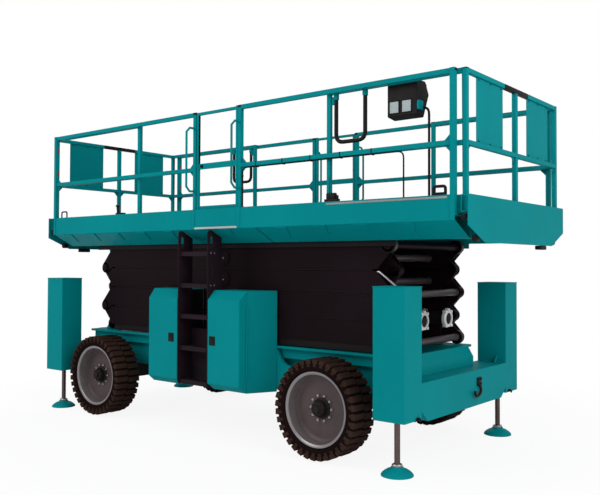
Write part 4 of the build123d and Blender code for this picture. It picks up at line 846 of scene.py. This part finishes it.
# ---- Sliding extensions ----
# The end panels are riveted to their frames and a foam sleeve is slipped over each end rail. Each
# extension is pulled by a black grip hung from teal clamps, and has rollers, stake loops and a bumper.
grip_top_z, grip_low_z = 3.254, 2.825
for end_name, facing, inner_x, grip_a in (("front", 1, 1.450, 1.524), ("rear", -1, -1.178, -1.252)):
    slider = end_name + "_extension"
    end_x = facing * 2.782
    rivets, plugs, corner_plates, rollers, stakes = [], [], [], [], []
    wheel_x, guide_x, loop_in, loop_out = [end_x + facing * step for step in (0.020, 0.006, -0.018, 0.030)]
    for side in sides:
        rivets += [rod((end_x - 0.007, side * across, up), (end_x + 0.007, side * across, up), 0.0075, 12)
                   for across in (0.300, 0.515, 0.730) for up in (2.742, 3.242)]
        plugs += [plug(x, side * 0.9338, side * 0.9762, 3.288) for x in (end_x, inner_x)]
        for y, tip_y in ((0.935, 0.875), (0.022, 0.082)):
            outline = ((side * y, 2.687), (side * tip_y, 2.687), (side * y, 2.627))
            corner_plates.append(cut_plate(outline, "yz", end_x - 0.003, end_x + 0.003))
        rollers += [cross_rod(wheel_x, 1.957, side, 0.785, 0.845, 0.028, 24),
                    cross_rod(guide_x, 2.118, side, 0.975, 1.012, 0.026, 24)]
        stake_y = side * 0.996
        stakes.append(hose(((loop_in, stake_y, 2.290), (loop_in, stake_y, 2.160), (loop_out, stake_y, 2.160),
                            (loop_out, stake_y, 2.290), (loop_in, stake_y, 2.290)), 0.006, 0.012))
    fixed(eased(rivets, 0.0015, 1), end_name + "_rivets", slider)
    sleeve = eased(bar((end_x - 0.0215, -0.26, 3.2555), (end_x + 0.0215, 0.26, post_top_z)), 0.008, 3)
    fixed([sleeve, *plugs], end_name + "_foam_sleeve", slider)
    fixed(eased(corner_plates, 0.001, 1), end_name + "_end_gussets", slider, *teal)
    grip_y = -facing * 0.955
    grip_b = grip_a + facing * 0.309
    pull = hose(((grip_a, grip_y, grip_top_z), (grip_a, grip_y, grip_low_z), (grip_b, grip_y, grip_low_z),
                 (grip_b, grip_y, grip_top_z)), 0.0185, 0.075)
    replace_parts(fixed(pull, end_name + "_pull_grip", slider), "slide_grip_" + end_name)
    clamps = [bar((x - 0.019, grip_y - 0.019, 3.205), (x + 0.019, grip_y + 0.019, 3.2575))
              for x in (grip_a, grip_b)]
    clamps.append(bar((grip_a - facing * 0.045, grip_y - 0.012, 3.165),
                      (grip_a - facing * 0.008, grip_y + 0.012, 3.235)))
    fixed(eased(clamps, 0.004), end_name + "_grip_clamps", slider, *teal)
    bumper = bar((facing * 2.780, facing * 0.450, 1.882), (facing * 2.838, facing * 0.600, 1.9205))
    fixed([*eased(rollers, 0.004), eased(bumper, 0.010, 3)], end_name + "_end_rollers", slider)
    fixed(stakes, end_name + "_stake_loops", slider, *teal)

# ---- Control box ----
# The black platform console hangs on the near rail by teal brackets. Its back has two pale windows;
# the operator's side has a lever, a stop button and three switches.
window_finish = paint_finish("pale_window", (0.36, 0.42, 0.43), 0.35, dust=0.05, drift=0.1)
box_body = "front_extension"
back_y, frame_y = -0.9345, -0.940
for left_x in (2.070, 2.190):
    label = str(int(left_x * 1000))
    window = bar((left_x, back_y, 3.018), (left_x + 0.088, -0.9385, 3.116))
    fixed(eased(window, 0.0015), "console_window_" + label, box_body, window_finish, "rod_steel")
    rim_bars = [bar((left_x - 0.006, back_y, low), (left_x + 0.094, frame_y, high))
                for low, high in ((3.012, 3.020), (3.114, 3.122))]
    rim_bars += [bar((left_x + low, back_y, 3.012), (left_x + high, frame_y, 3.122))
                 for low, high in ((-0.006, 0.002), (0.086, 0.094))]
    fixed(eased(rim_bars, 0.001, 1), "console_frame_" + label, box_body)
hangers = [eased(bar((x - 0.020, back_y, 3.235), (x + 0.020, -0.930, 3.2975)), 0.001)
           for x in (2.090, 2.285)]
hangers.append(eased(bar((2.327, -0.930, 3.030), (2.352, -0.860, 3.105)), 0.004))
fixed(hangers, "console_brackets", box_body, *teal)
slope_way = Vector((0.0, 0.105, 0.060)).normalized()
seat = Vector((2.187, -0.755, 3.232))
lever = turned(((0.0, 0.0), (0.026, 0.0), (0.026, 0.006), (0.017, 0.016), (0.019, 0.022), (0.013, 0.034),
                (0.006, 0.040), (0.0055, 0.075), (0.014, 0.082), (0.016, 0.100), (0.011, 0.112), (0.0, 0.114)),
               seat + Vector((0.070, 0.0, 0.0)), slope_way, 24)
fixed(lever, "console_lever", box_body)
stop_finish = paint_finish("stop_red", (0.45, 0.012, 0.010), 0.35, dust=0.04)
stop_button = turned(((0.0, 0.0), (0.012, 0.0), (0.012, 0.014), (0.021, 0.016), (0.022, 0.022), (0.017, 0.029),
                      (0.0, 0.031)), seat + Vector((-0.085, 0.0, 0.0)), slope_way, 28)
fixed(stop_button, "console_stop", box_body, stop_finish)
keys = [turned(((0.0, 0.0), (0.009, 0.0), (0.009, 0.006), (0.006, 0.012), (0.0, 0.012)),
               seat + Vector((x, 0.0, 0.0)), slope_way, 16) for x in (-0.035, -0.005, 0.025)]
fixed(keys, "console_switches", box_body, window_finish, "rod_steel")
cord_x, cord_y, cord_z = 2.404, -0.860, 3.050
cord = hose(((2.329, cord_y, cord_z), (cord_x, cord_y, cord_z), (cord_x, cord_y, 2.164)), 0.0105, 0.06)
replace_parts(fixed(cord, "console_cord", box_body, black_finish, "cable_black"), "control_cable")
gland_nut = rod((2.328, cord_y, cord_z), (2.345, cord_y, cord_z), 0.014, 6)
cord_clips = [bar((cord_x - 0.014, clip_y, z - 0.006), (cord_x + 0.014, -0.846, z + 0.006))
              for clip_y, z in ((-0.9695, 2.275), (-0.936, 2.707))]
fixed(eased([gland_nut, *cord_clips], 0.002), "cord_fittings", box_body)
